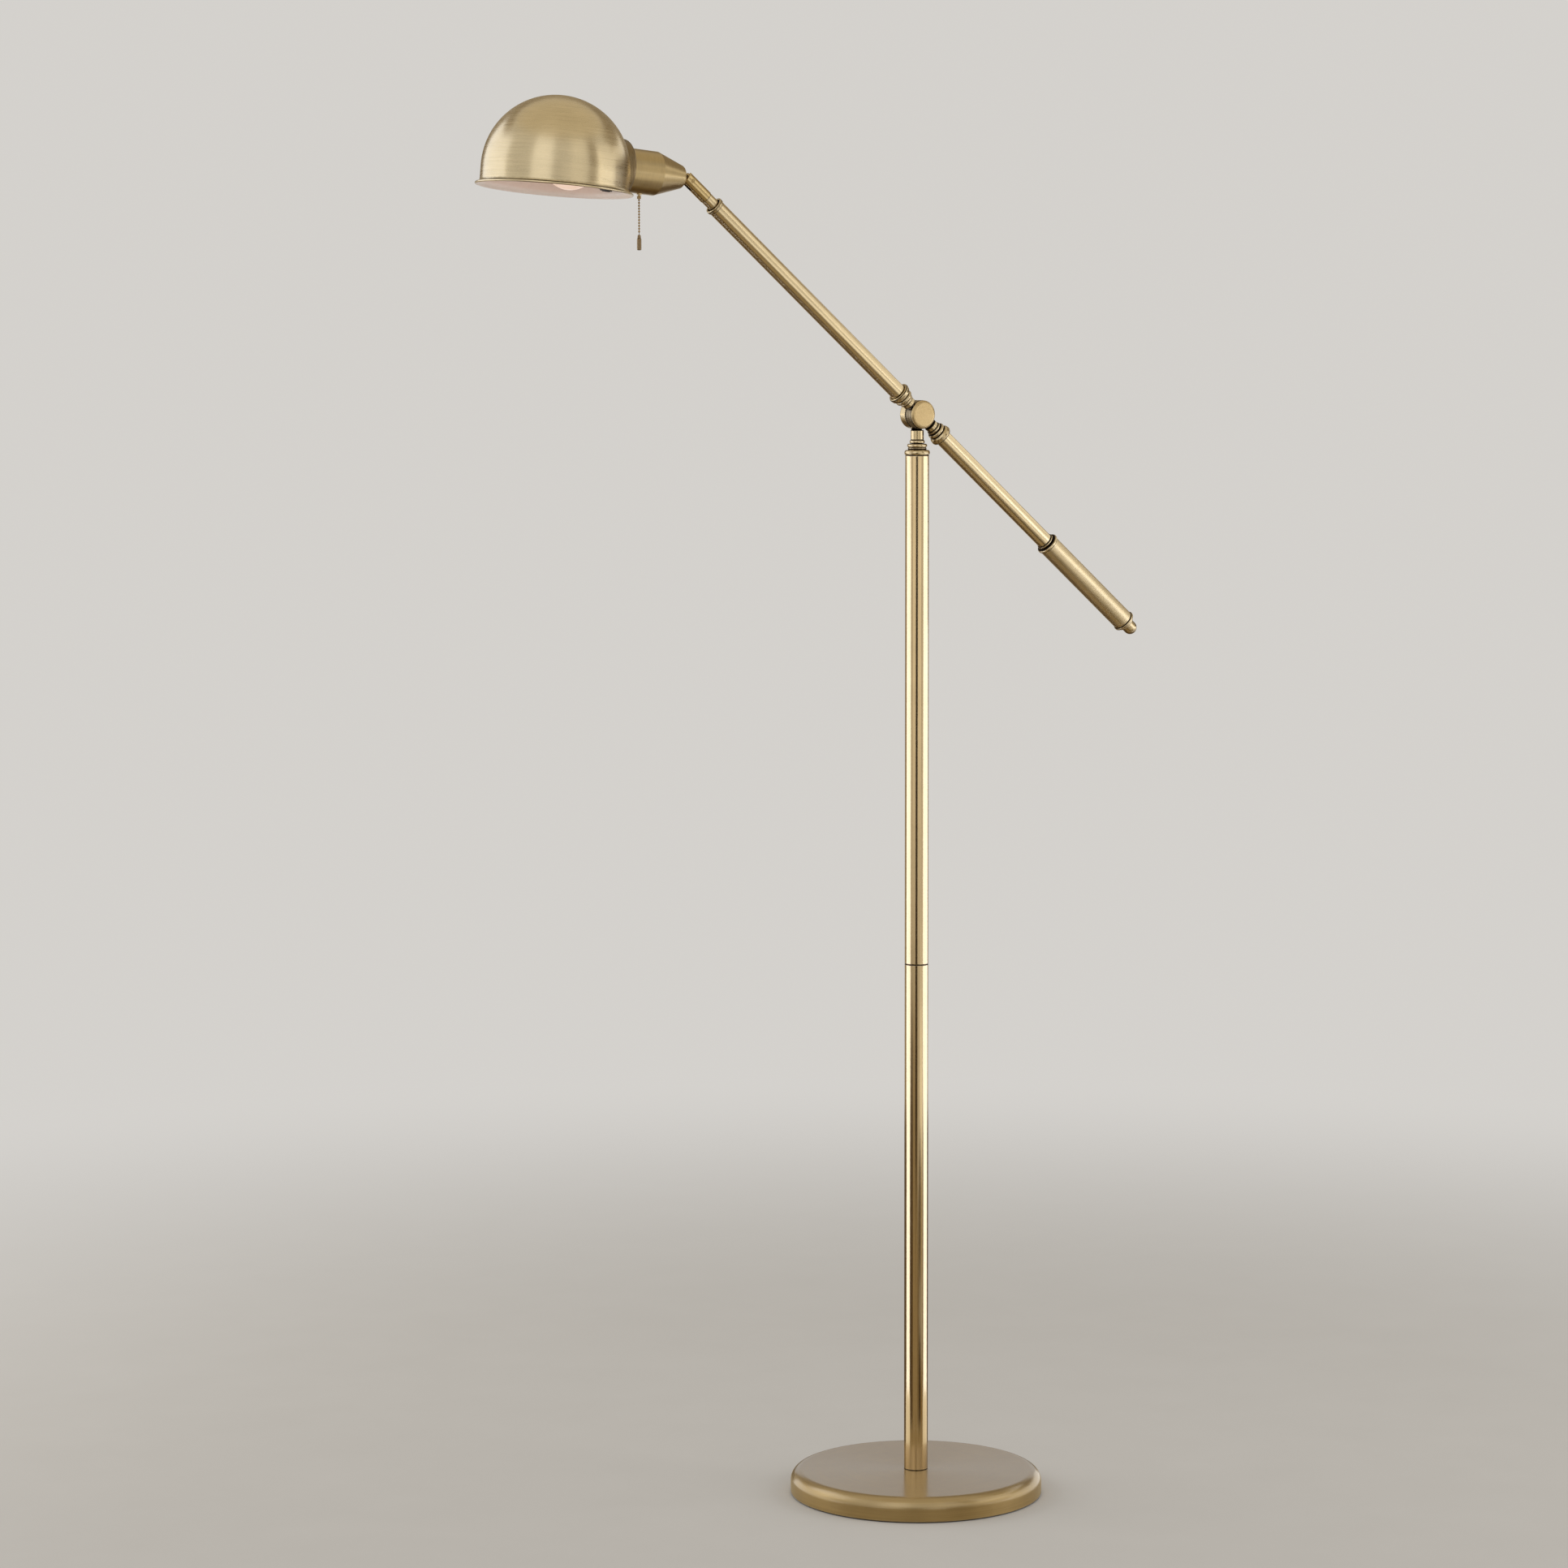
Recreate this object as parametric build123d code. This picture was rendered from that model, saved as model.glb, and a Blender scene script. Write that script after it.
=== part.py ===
from build123d import *
import os
from math import acos, atan2, copysign, cos, degrees, hypot, radians, sin, sqrt

# Adjustable arm floor lamp, in millimetres.
# The origin is on the floor under the pole. +Z is up, the shade is towards -X,
# the counterweight towards +X, and the knuckle's round cap faces -Y.

# Stance, in degrees above the horizontal
arm_angle = 40.25
head_angle = 5.5

# Fits shared by all pieces
slip_clearance = 0.05
running_clearance = 0.05
moving_gap = 0.3

# Base
base_radius = 127.0
base_height = 24.0
base_edge_radius = 18.0
cover_wall = 1.2
cover_lift = 1.0
pad_thickness = 2.0
pad_inset = 3.0
weight_gap = 4.0
weight_boss_radius = 40.0
counterbore_margin = 8.0
counterbore_depth = 12.0
nipple_radius = 4.9
nipple_wall = 1.6
nipple_tail = 1.5
base_nut_wall = 3.6
base_nut_height = 5.0
base_washer_margin = 4.0
base_washer_thickness = 1.5
bushing_bore = 3.2
bushing_wall = 2.0
bushing_flange = 1.2
bushing_flange_thickness = 1.5
bushing_floor_gap = 2.1
bushing_end_gap = 1.4
channel_margin = 0.8

# Pole
pole_radius = 12.0
pole_wall = 1.2
lower_pole_length = 516.0
upper_pole_length = 508.9
foot_plug_length = 20.0
coupler_length = 44.0
coupler_wall = 4.2
coupler_ring_height = 0.6
coupler_ring_inset = 0.5

# Collar on top of the pole
collar_plug_length = 16.0
collar_bead_overhang = 0.8
collar_bead_height = 5.3
collar_waist_height = 2.6
collar_waist_depth = 0.8
collar_top_radius = 10.0
collar_top_height = 3.6
bead_bulge = 1.0

# Neck stem and its spindle
spindle_radius = 5.0
spindle_wall = 2.0
spindle_nut_wall = 3.0
spindle_nut_height = 5.0
spindle_washer_thickness = 0.8
neck_radius = 6.5
neck_height = 10.0
neck_ring_overhang = 1.1
neck_ring_height = 3.2
neck_wall = 2.0
boss_length = 8.0

# Knuckle
knuckle_radius = 14.2
knuckle_lift = 1.3
rear_thickness = 10.4
rear_edge_radius = 2.0
front_thickness = 8.6
disc_gap = 0.8
friction_washer_thickness = 0.5
friction_washer_inset = 0.6
lug_inset = 0.5
bolt_radius = 4.0
bolt_head_overhang = 3.5
bolt_head_thickness = 2.4
bolt_cover = 2.4
spring_washer_thickness = 1.2
spring_washer_inset = 0.2
recess_margin = 1.5
stud_inset = 0.1
stud_length = 10.0
cap_inset = 0.2
cap_thickness = 3.4
cap_edge_radius = 1.8
cap_rebate_depth = 0.8
cap_rebate_height = 0.6
cap_spigot_height = 0.6

# Arm collars, counted from the knuckle outwards
arm_gap = 1.2
arm_neck_wall = 2.3
arm_neck_length = 5.0
small_ring_overhang = 1.0
small_ring_length = 2.7
large_ring_overhang = 2.8
large_ring_length = 3.4
groove_length = 0.7
groove_overhang = 0.2
ring_bulge = 0.5
barrel_overhang = 3.15
barrel_length = 6.5
barrel_taper = 2.35
barrel_end_radius = 1.3
arm_plug_length = 14.0

# Arm tubes
arm_tube_radius = 8.2
arm_tube_wall = 1.2
upper_arm_length = 275.0
lower_arm_length = 165.1

# Ferrule, swivel and fork at the end of the upper arm
ferrule_overhang = 0.9
ferrule_length = 4.0
ferrule_edge_radius = 0.6
ferrule_lip = 1.6
ferrule_recess_gap = 1.5
ferrule_recess_depth = 1.5
ferrule_plug_length = 10.0
swivel_base_length = 11.0
swivel_stud_step = 1.5
swivel_stud_wall = 1.5
swivel_spindle_wall = 1.4
swivel_retainer_overhang = 2.2
swivel_retainer_length = 3.0
fork_overhang = 0.4
fork_length = 23.3
fork_end_reach = 5.9
fork_edge_radius = 0.8
slot_end_gap = 1.6
pin_radius = 2.0
pin_end_inset = 0.1

# Counterweight
weight_ring_overhang = 1.1
weight_ring_length = 2.2
weight_groove_length = 0.6
weight_groove_depth = 0.4
weight_bead_overhang = 1.0
weight_bead_length = 3.4
weight_spigot_length = 10.0
sleeve_radius = 10.8
sleeve_wall = 1.0
sleeve_length = 123.2
slug_gap = 0.3
end_bead_length = 3.0
end_disc_step = 1.2
end_disc_length = 2.2
finial_radius = 7.0
finial_length = 7.0
finial_stud_step = 4.0
finial_stud_length = 8.0

# Hinge tongue of the head
tongue_thickness = 4.0
tongue_eye_wall = 2.6
tongue_root_step = 1.0
tongue_stud_radius = 4.0
tongue_stud_tail = 1.0
tongue_nut_wall = 2.0
tongue_nut_height = 4.0

# Lampholder, built outwards from the bulb's cap
bulb_cap_radius = 12.9
bulb_cap_length = 24.2
bulb_cap_gap = 0.3
shell_clearance = 0.3
shell_wall = 0.5
shell_length = 29.0
barrel_wall = 2.75
holder_barrel_length = 20.8
holder_bore_depth = 35.0
holder_shoulder = 3.2
holder_body_length = 30.0
contact_radius = 4.0
contact_height = 1.5

# Socket cup
socket_rise = 2.7
cup_wall = 1.2
cup_length = 35.2
nose_length = 31.0
nose_end_radius = 10.45
nose_round = 4.5

# Shade and what clamps it
dome_radius = 70.5
shade_wall = 0.8
skirt_length = 12.9
lip_radius = 4.0
lip_sweep = 80.0
rim_bead_radius = 1.1
equator_drop = 9.5
seat_depth = 1.9
seat_overhang = 7.5
seat_edge_radius = 3.0
seat_lip_gap = 0.3
shade_hole_margin = 0.5
saddle_washer_overhang = 4.5
saddle_washer_depth = 9.4
ring_nut_overhang = 6.5
ring_nut_length = 7.0

# Bulb
bulb_radius = 26.0
bulb_neck_inset = 0.1
bulb_neck_length = 11.0
bulb_centre_distance = 45.0
bulb_wall = 0.8

# Pull switch and chain
pull_travel = 7.0
shackle_radius = 0.9
shackle_collar_overhang = 0.9
shackle_collar_height = 1.0
shackle_drop = 2.6
eye_radius = 1.4
switch_radius = 5.0
switch_skin = 1.2
switch_inset = 0.8
switch_pocket_wall = 1.35
guide_wall = 0.9
guide_reach = 0.8
yoke_pin_radius = 0.4
yoke_plate = 0.5
yoke_half_width = 0.9
chain_length = 36.0
chain_wire_radius = 0.3
bead_radius = 1.0
bead_pitch = 2.7
bell_length = 14.6
bell_top_radius = 1.6
bell_end_radius = 2.1
bell_hole_depth = 4.0

# Sizes that follow from the ones above
pole_inner_radius = pole_radius - pole_wall
pole_joint = base_height + lower_pole_length
upper_pole_bottom = pole_joint + coupler_ring_height
pole_top = upper_pole_bottom + upper_pole_length
collar_top = pole_top + collar_bead_height + collar_waist_height + collar_top_height
neck_bottom = collar_top + moving_gap
neck_top = neck_bottom + neck_ring_height + neck_height
pivot_height = neck_top + knuckle_lift + knuckle_radius

weight_radius = base_radius - cover_wall - weight_gap
weight_top = base_height - cover_wall - weight_gap
counterbore_top = pad_thickness + counterbore_depth
base_nut_half_width = nipple_radius + base_nut_wall
base_washer_radius = base_nut_half_width + base_washer_margin
counterbore_radius = base_washer_radius + counterbore_margin
bushing_radius = bushing_bore + bushing_wall
bushing_flange_radius = bushing_radius + bushing_flange
bushing_height = bushing_floor_gap + bushing_flange_radius

knuckle_front_face = disc_gap / 2 + front_thickness
arm_offset = disc_gap / 2 + front_thickness / 2
bolt_head_radius = bolt_radius + bolt_head_overhang
recess_radius = bolt_head_radius + recess_margin
recess_depth = (running_clearance + spring_washer_thickness + bolt_head_thickness
                + moving_gap + cap_spigot_height)
recess_floor = knuckle_front_face - recess_depth
bolt_head_seat = recess_floor + running_clearance + spring_washer_thickness
bolt_tip = disc_gap / 2 + rear_thickness - bolt_cover

stud_radius = front_thickness / 2 - stud_inset
arm_neck_radius = stud_radius + arm_neck_wall
arm_collar_start = knuckle_radius + arm_gap
arm_tube_start = (arm_collar_start + arm_neck_length + small_ring_length + large_ring_length
                  + 2 * groove_length + barrel_length)
arm_tube_inner = arm_tube_radius - arm_tube_wall
upper_arm_end = arm_tube_start + upper_arm_length
lower_arm_end = arm_tube_start + lower_arm_length

ferrule_radius = arm_tube_radius + ferrule_overhang
ferrule_end = upper_arm_end + ferrule_length
ferrule_floor = ferrule_end - ferrule_recess_depth
ferrule_plug_end = upper_arm_end - ferrule_plug_length
ferrule_recess_radius = ferrule_radius - ferrule_lip
swivel_radius = ferrule_recess_radius - ferrule_recess_gap
swivel_stud_radius = swivel_radius - swivel_stud_step
swivel_spindle_radius = swivel_stud_radius - swivel_stud_wall
swivel_end = ferrule_end + swivel_base_length
fork_radius = swivel_radius + fork_overhang
fork_start = swivel_end + moving_gap
pin_distance = fork_start + fork_length
fork_end = pin_distance + fork_end_reach
eye_outer_radius = pin_radius + tongue_eye_wall
slot_width = tongue_thickness + 2 * moving_gap

sleeve_inner = sleeve_radius - sleeve_wall
weight_bead_radius = sleeve_radius + weight_bead_overhang
sleeve_start = lower_arm_end + weight_ring_length + weight_groove_length + weight_bead_length
sleeve_end = sleeve_start + sleeve_length
end_disc_radius = sleeve_radius - end_disc_step
end_disc_start = sleeve_end + end_bead_length
finial_start = end_disc_start + end_disc_length
finial_stud_radius = finial_radius - finial_stud_step

shell_radius = bulb_cap_radius + shell_clearance + shell_wall
holder_bore = shell_radius + slip_clearance
barrel_radius = holder_bore + barrel_wall
holder_radius = barrel_radius + holder_shoulder
cup_inner = holder_radius + slip_clearance
cup_radius = cup_inner + cup_wall
nose_start = hypot(fork_radius, fork_end_reach) + moving_gap
crease = nose_start + nose_length
seat_face = crease + cup_length
barrel_end = seat_face + holder_barrel_length
holder_floor = barrel_end - holder_bore_depth
nose_angle = degrees(atan2(cup_radius - nose_end_radius, nose_length))

dome_distance = seat_face + seat_depth + sqrt(dome_radius ** 2 - equator_drop ** 2)
seat_radius = cup_radius + seat_overhang
shade_hole = barrel_radius + shade_hole_margin
saddle_flat = seat_face + seat_depth + saddle_washer_depth
bulb_cap_start = holder_floor + contact_height + bulb_cap_gap
bulb_glass_start = bulb_cap_start + bulb_cap_length

switch_distance = holder_floor - switch_pocket_wall - switch_radius
switch_bottom = -(holder_radius - switch_inset)
collar_room = pull_travel + shackle_collar_height + 2 * moving_gap
switch_ceiling = switch_bottom + switch_skin + collar_room
guide_bore = shackle_radius + shackle_collar_overhang
eye_height = -(cup_radius + shackle_drop)

# Frames of the moving groups
arm_rise = sin(radians(arm_angle))
arm_run = cos(radians(arm_angle))
head_rise = sin(radians(head_angle))
head_run = cos(radians(head_angle))
knuckle_axis = Plane(origin=(0, 0, pivot_height), x_dir=(1, 0, 0), z_dir=(0, 1, 0))
arm_origin = (0, -arm_offset, pivot_height)
upper_arm = Plane(origin=arm_origin, x_dir=(0, 1, 0), z_dir=(-arm_run, 0, arm_rise))
lower_arm = Plane(origin=arm_origin, x_dir=(0, 1, 0), z_dir=(arm_run, 0, -arm_rise))
hinge_point = upper_arm.from_local_coords(Vector(0, 0, pin_distance))
socket_origin = hinge_point + Vector(head_rise, 0, head_run) * socket_rise
socket = Plane(origin=socket_origin, x_dir=(head_rise, 0, head_run), z_dir=(-head_run, 0, head_rise))

# Frames within the socket's own one: its x is up, its z points along the cup to the shade
dome_axis = Plane(origin=(-equator_drop, 0, dome_distance), x_dir=(0, 0, -1), z_dir=(1, 0, 0))
pull_axis = Plane(origin=(0, 0, switch_distance), x_dir=(0, 0, 1), z_dir=(1, 0, 0))
eye_point = socket.from_local_coords(Vector(eye_height, 0, switch_distance))
chain_frame = Plane(origin=eye_point, x_dir=(1, 0, 0), z_dir=(0, 0, 1))


def turned(start, *steps):
    """Solid turned about Z. A step is the next point (radius, z), or an arc's middle and end points."""
    edges = []
    here = start
    for step in steps:
        if isinstance(step[0], tuple):
            middle, there = step
            edges.append(ThreePointArc(here, middle, there))
        else:
            there = step
            edges.append(Line(here, there))
        here = there
    edges.append(Line(here, start))
    return revolve(Plane.XZ * make_face(edges), axis=Axis.Z)


def rounding(tangent_point, other_point):
    """Middle of the arc that runs along Z at the first point and passes through the other."""
    across = other_point[0] - tangent_point[0]
    along = other_point[1] - tangent_point[1]
    half_turn = atan2(abs(across), abs(along))
    radius = abs(along) / sin(2 * half_turn)
    return (tangent_point[0] + copysign(radius * (1 - cos(half_turn)), across),
            tangent_point[1] + copysign(radius * sin(half_turn), along))


def bead(radius, bulge, bottom, top):
    """Steps of a ring with a bulged side."""
    return (radius - bulge, bottom), ((radius, (bottom + top) / 2), (radius - bulge, top))


def disc(radius, bottom, top):
    return Pos(0, 0, bottom) * Cylinder(radius, top - bottom, align=(Align.CENTER, Align.CENTER, Align.MIN))


def tube(outer, inner, bottom, top):
    return turned((inner, bottom), (outer, bottom), (outer, top), (inner, top))


def hex_nut(half_width, bore, bottom, top):
    prism = extrude(RegularPolygon(half_width, 6, major_radius=False), top - bottom)
    return Pos(0, 0, bottom) * prism - disc(bore, bottom, top)


def block(width, depth, bottom, top):
    return Pos(0, 0, bottom) * Box(width, depth, top - bottom, align=(Align.CENTER, Align.CENTER, Align.MIN))


def shouldered_disc(radius, edge, bottom, top):
    """Round plate with a rounded upper edge."""
    side = (radius, top - edge)
    crown = (radius - edge, top)
    return turned((0, bottom), (radius, bottom), side, (rounding(side, crown), crown), (0, top))


# Stand

def base_pad():
    return disc(weight_radius - pad_inset, 0, pad_thickness)


def base_cover_envelope():
    return shouldered_disc(base_radius, base_edge_radius, cover_lift, base_height)


def inlet_frame():
    """Cord inlet at the back of the base, with z pointing out of the side."""
    return Plane(origin=(0, 0, bushing_height), x_dir=(1, 0, 0), z_dir=(0, 1, 0))


def base_cover():
    inside = shouldered_disc(base_radius - cover_wall, base_edge_radius - cover_wall, 0,
                             base_height - cover_wall)
    centre_hole = disc(nipple_radius + slip_clearance, 0, base_height)
    inlet_hole = disc(bushing_radius + slip_clearance, weight_radius, base_radius)
    return base_cover_envelope() - inside - centre_hole - inlet_frame() * inlet_hole


def base_weight():
    casting = shouldered_disc(weight_radius, base_edge_radius - cover_wall - weight_gap, pad_thickness,
                              weight_top)
    casting += disc(weight_boss_radius, pad_thickness, base_height - cover_wall)
    casting -= disc(counterbore_radius, pad_thickness, counterbore_top)
    casting -= disc(nipple_radius + slip_clearance, counterbore_top, base_height)
    channel_top = bushing_height + bushing_bore + channel_margin
    channel = block(2 * (bushing_bore + channel_margin), weight_radius, pad_thickness, channel_top)
    return casting - Pos(0, weight_radius / 2, 0) * channel


def base_washer():
    return tube(base_washer_radius, nipple_radius + slip_clearance,
                counterbore_top - base_washer_thickness, counterbore_top)


def base_nut_top():
    return counterbore_top - base_washer_thickness


def base_nut():
    return hex_nut(base_nut_half_width, nipple_radius + slip_clearance,
                   base_nut_top() - base_nut_height, base_nut_top())


def base_nipple():
    return tube(nipple_radius, nipple_radius - nipple_wall,
                base_nut_top() - base_nut_height - nipple_tail, base_height + foot_plug_length)


def cord_bushing():
    inner_end = weight_radius + bushing_end_gap
    outer_end = base_radius + bushing_flange_thickness
    flange = inlet_frame() * disc(bushing_flange_radius, inner_end, outer_end) - base_cover_envelope()
    sleeve = inlet_frame() * disc(bushing_radius, inner_end, outer_end)
    return flange + sleeve - inlet_frame() * disc(bushing_bore, inner_end, outer_end)


def pole_foot_plug():
    return tube(pole_inner_radius - slip_clearance, nipple_radius + slip_clearance,
                base_height, base_height + foot_plug_length)


def pole_lower_tube():
    return tube(pole_radius, pole_inner_radius, base_height, pole_joint)


def pole_coupler():
    outer = pole_inner_radius - slip_clearance
    bore = outer - coupler_wall
    reach = coupler_length / 2
    sleeve = tube(outer, bore, pole_joint - reach, pole_joint + reach)
    return sleeve + tube(pole_radius - coupler_ring_inset, bore, pole_joint, upper_pole_bottom)


def pole_upper_tube():
    return tube(pole_radius, pole_inner_radius, upper_pole_bottom, pole_top)


def pole_collar():
    bore = spindle_radius + running_clearance
    plug_radius = pole_inner_radius - slip_clearance
    waist_bottom = pole_top + collar_bead_height
    waist_top = waist_bottom + collar_waist_height
    waist_radius = collar_top_radius - collar_waist_depth
    return turned((bore, pole_top - collar_plug_length),
                  (plug_radius, pole_top - collar_plug_length), (plug_radius, pole_top),
                  *bead(pole_radius + collar_bead_overhang, bead_bulge, pole_top, waist_bottom),
                  (waist_radius, waist_bottom), (waist_radius, waist_top),
                  *bead(collar_top_radius, bead_bulge, waist_top, collar_top),
                  (bore, collar_top))


# Stem that turns on the pole

def spindle_washer_top():
    return pole_top - collar_plug_length - running_clearance


def spindle_bottom():
    return spindle_washer_top() - spindle_washer_thickness - spindle_nut_height


def neck_stem():
    bore = spindle_radius - spindle_wall
    boss_bore = neck_radius - neck_wall
    boss_floor = neck_top - boss_length - moving_gap
    ring_top = neck_bottom + neck_ring_height
    return turned((bore, spindle_bottom()), (spindle_radius, spindle_bottom()),
                  (spindle_radius, neck_bottom),
                  *bead(neck_radius + neck_ring_overhang, ring_bulge, neck_bottom, ring_top),
                  (neck_radius, ring_top), (neck_radius, neck_top),
                  (boss_bore, neck_top), (boss_bore, boss_floor), (bore, boss_floor))


def spindle_washer():
    return tube(spindle_radius + spindle_nut_wall, spindle_radius + slip_clearance,
                spindle_washer_top() - spindle_washer_thickness, spindle_washer_top())


def spindle_nut():
    return tube(spindle_radius + spindle_nut_wall, spindle_radius + slip_clearance,
                spindle_bottom(), spindle_washer_top() - spindle_washer_thickness)


def knuckle_rear():
    back = disc_gap / 2 + rear_thickness
    half = disc(knuckle_radius, disc_gap / 2, back)
    half = fillet(half.edges().group_by(Axis.Z)[-1], rear_edge_radius)
    lug = disc(neck_radius - lug_inset, neck_top, pivot_height)
    front_room = Pos(0, disc_gap / 2 - neck_radius, 0) * block(2 * neck_radius, 2 * neck_radius,
                                                               neck_top, pivot_height)
    boss = disc(neck_radius - neck_wall - slip_clearance, neck_top - boss_length, neck_top)
    bolt_hole = disc(bolt_radius + slip_clearance, 0, bolt_tip + moving_gap)
    return knuckle_axis * half + (lug - front_room) + boss - knuckle_axis * bolt_hole


def friction_washer():
    return knuckle_axis * tube(knuckle_radius - friction_washer_inset, bolt_radius + slip_clearance,
                               disc_gap / 2 - friction_washer_thickness, disc_gap / 2)


def pivot_bolt():
    shank = disc(bolt_radius, -bolt_head_seat, bolt_tip)
    head = disc(bolt_head_radius, -bolt_head_seat - bolt_head_thickness, -bolt_head_seat)
    return knuckle_axis * (shank + head)


def spring_washer():
    return knuckle_axis * tube(bolt_head_radius - spring_washer_inset, bolt_radius + slip_clearance,
                               -bolt_head_seat, -recess_floor - running_clearance)


# Arm that tilts in the knuckle

def knuckle_front():
    hub = knuckle_axis * disc(knuckle_radius, -knuckle_front_face, -disc_gap / 2)
    stud = disc(stud_radius, recess_radius, arm_collar_start + stud_length)
    recess = knuckle_axis * disc(recess_radius, -knuckle_front_face, -recess_floor)
    bolt_bore = knuckle_axis * disc(bolt_radius + running_clearance, -knuckle_front_face, 0)
    return hub + upper_arm * stud + lower_arm * stud - recess - bolt_bore


def pivot_cap():
    """Round cap, drawn from its face towards the knuckle."""
    radius = knuckle_radius - cap_inset
    rebate_radius = radius - cap_rebate_depth
    spigot_radius = recess_radius - slip_clearance
    rebate_start = cap_thickness - cap_rebate_height
    side = (radius, cap_edge_radius)
    face_edge = (radius - cap_edge_radius, 0)
    cap = turned((0, 0), face_edge, (rounding(side, face_edge), side), (radius, rebate_start),
                 (rebate_radius, rebate_start), (rebate_radius, cap_thickness),
                 (spigot_radius, cap_thickness), (spigot_radius, cap_thickness + cap_spigot_height),
                 (0, cap_thickness + cap_spigot_height))
    return knuckle_axis * (Pos(0, 0, -knuckle_front_face - cap_thickness) * cap)


def arm_collar(arm):
    bore = stud_radius + slip_clearance
    bore_end = arm_collar_start + stud_length
    neck_end = arm_collar_start + arm_neck_length
    small_end = neck_end + small_ring_length
    large_start = small_end + groove_length
    large_end = large_start + large_ring_length
    barrel_start = large_end + groove_length
    groove_radius = arm_neck_radius + groove_overhang
    crown_radius = arm_tube_radius + barrel_overhang
    plug_radius = arm_tube_inner - slip_clearance
    barrel_foot = (crown_radius - barrel_taper, barrel_start)
    barrel_crown = (crown_radius, arm_tube_start - barrel_end_radius)
    barrel_end_edge = (crown_radius - barrel_end_radius, arm_tube_start)
    collar = turned((bore, arm_collar_start), (arm_neck_radius, arm_collar_start),
                    (arm_neck_radius, neck_end),
                    *bead(arm_neck_radius + small_ring_overhang, ring_bulge, neck_end, small_end),
                    (groove_radius, small_end), (groove_radius, large_start),
                    *bead(arm_neck_radius + large_ring_overhang, ring_bulge, large_start, large_end),
                    (groove_radius, large_end), (groove_radius, barrel_start), barrel_foot,
                    (rounding(barrel_crown, barrel_foot), barrel_crown),
                    (rounding(barrel_crown, barrel_end_edge), barrel_end_edge),
                    (plug_radius, arm_tube_start), (plug_radius, arm_tube_start + arm_plug_length),
                    (0, arm_tube_start + arm_plug_length), (0, bore_end), (bore, bore_end))
    return arm * collar


def arm_tube(arm, end):
    return arm * tube(arm_tube_radius, arm_tube_inner, arm_tube_start, end)


def arm_end_ferrule():
    bore = swivel_stud_radius + slip_clearance
    plug_radius = arm_tube_inner - slip_clearance
    side = (ferrule_radius, ferrule_end - ferrule_edge_radius)
    lip_edge = (ferrule_radius - ferrule_edge_radius, ferrule_end)
    ferrule = turned((bore, ferrule_plug_end), (plug_radius, ferrule_plug_end), (plug_radius, upper_arm_end),
                     (ferrule_radius, upper_arm_end), side, (rounding(side, lip_edge), lip_edge),
                     (ferrule_recess_radius, ferrule_end), (ferrule_recess_radius, ferrule_floor),
                     (bore, ferrule_floor))
    return upper_arm * ferrule


def swivel_base():
    bore = swivel_spindle_radius + running_clearance
    return upper_arm * turned((bore, ferrule_plug_end), (swivel_stud_radius, ferrule_plug_end),
                              (swivel_stud_radius, ferrule_floor), (swivel_radius, ferrule_floor),
                              (swivel_radius, swivel_end), (bore, swivel_end))


def counterweight_collar():
    plug_radius = arm_tube_inner - slip_clearance
    spigot_radius = sleeve_inner - slip_clearance
    ring_end = lower_arm_end + weight_ring_length
    groove_end = ring_end + weight_groove_length
    groove_radius = arm_tube_radius - weight_groove_depth
    collar = turned((0, lower_arm_end - arm_plug_length), (plug_radius, lower_arm_end - arm_plug_length),
                    (plug_radius, lower_arm_end),
                    *bead(arm_tube_radius + weight_ring_overhang, ring_bulge, lower_arm_end, ring_end),
                    (groove_radius, ring_end), (groove_radius, groove_end),
                    *bead(weight_bead_radius, bead_bulge, groove_end, sleeve_start),
                    (spigot_radius, sleeve_start), (spigot_radius, sleeve_start + weight_spigot_length),
                    (0, sleeve_start + weight_spigot_length))
    return lower_arm * collar


def counterweight_sleeve():
    return lower_arm * tube(sleeve_radius, sleeve_inner, sleeve_start, sleeve_end)


def counterweight_slug():
    return lower_arm * disc(sleeve_inner - slug_gap, sleeve_start + weight_spigot_length,
                            sleeve_end - weight_spigot_length)


def counterweight_end_cap():
    spigot_radius = sleeve_inner - slip_clearance
    stud_hole = finial_stud_radius + slip_clearance
    stud_floor = finial_start - finial_stud_length - moving_gap
    cap = turned((0, sleeve_end - weight_spigot_length), (spigot_radius, sleeve_end - weight_spigot_length),
                 (spigot_radius, sleeve_end),
                 *bead(weight_bead_radius, bead_bulge, sleeve_end, end_disc_start),
                 *bead(end_disc_radius, ring_bulge, end_disc_start, finial_start),
                 (stud_hole, finial_start), (stud_hole, stud_floor), (0, stud_floor))
    return lower_arm * cap


def counterweight_finial():
    shoulder = finial_start + finial_length
    side = (finial_radius, shoulder)
    tip = (0, shoulder + finial_radius)
    return lower_arm * turned((0, finial_start - finial_stud_length),
                              (finial_stud_radius, finial_start - finial_stud_length),
                              (finial_stud_radius, finial_start), (finial_radius, finial_start),
                              side, (rounding(side, tip), tip))


# Fork that swivels on the arm's end

def retainer_top():
    return ferrule_plug_end - running_clearance


def swivel_fork():
    shank = disc(fork_radius, fork_start, fork_end)
    shank = fillet(shank.edges().group_by(Axis.Z)[-1], fork_edge_radius)
    spindle = disc(swivel_spindle_radius, retainer_top() - swivel_retainer_length, fork_start)
    slot_floor = pin_distance - eye_outer_radius - slot_end_gap
    wire_hole = disc(swivel_spindle_radius - swivel_spindle_wall,
                     retainer_top() - swivel_retainer_length, slot_floor)
    slot = block(slot_width, 2 * fork_radius, slot_floor, fork_end)
    pin_hole = Rot(0, 90, 0) * Cylinder(pin_radius + slip_clearance, 2 * fork_radius)
    pin_hole = Pos(0, 0, pin_distance) * pin_hole
    return upper_arm * (shank + spindle - wire_hole - slot - pin_hole)


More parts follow.
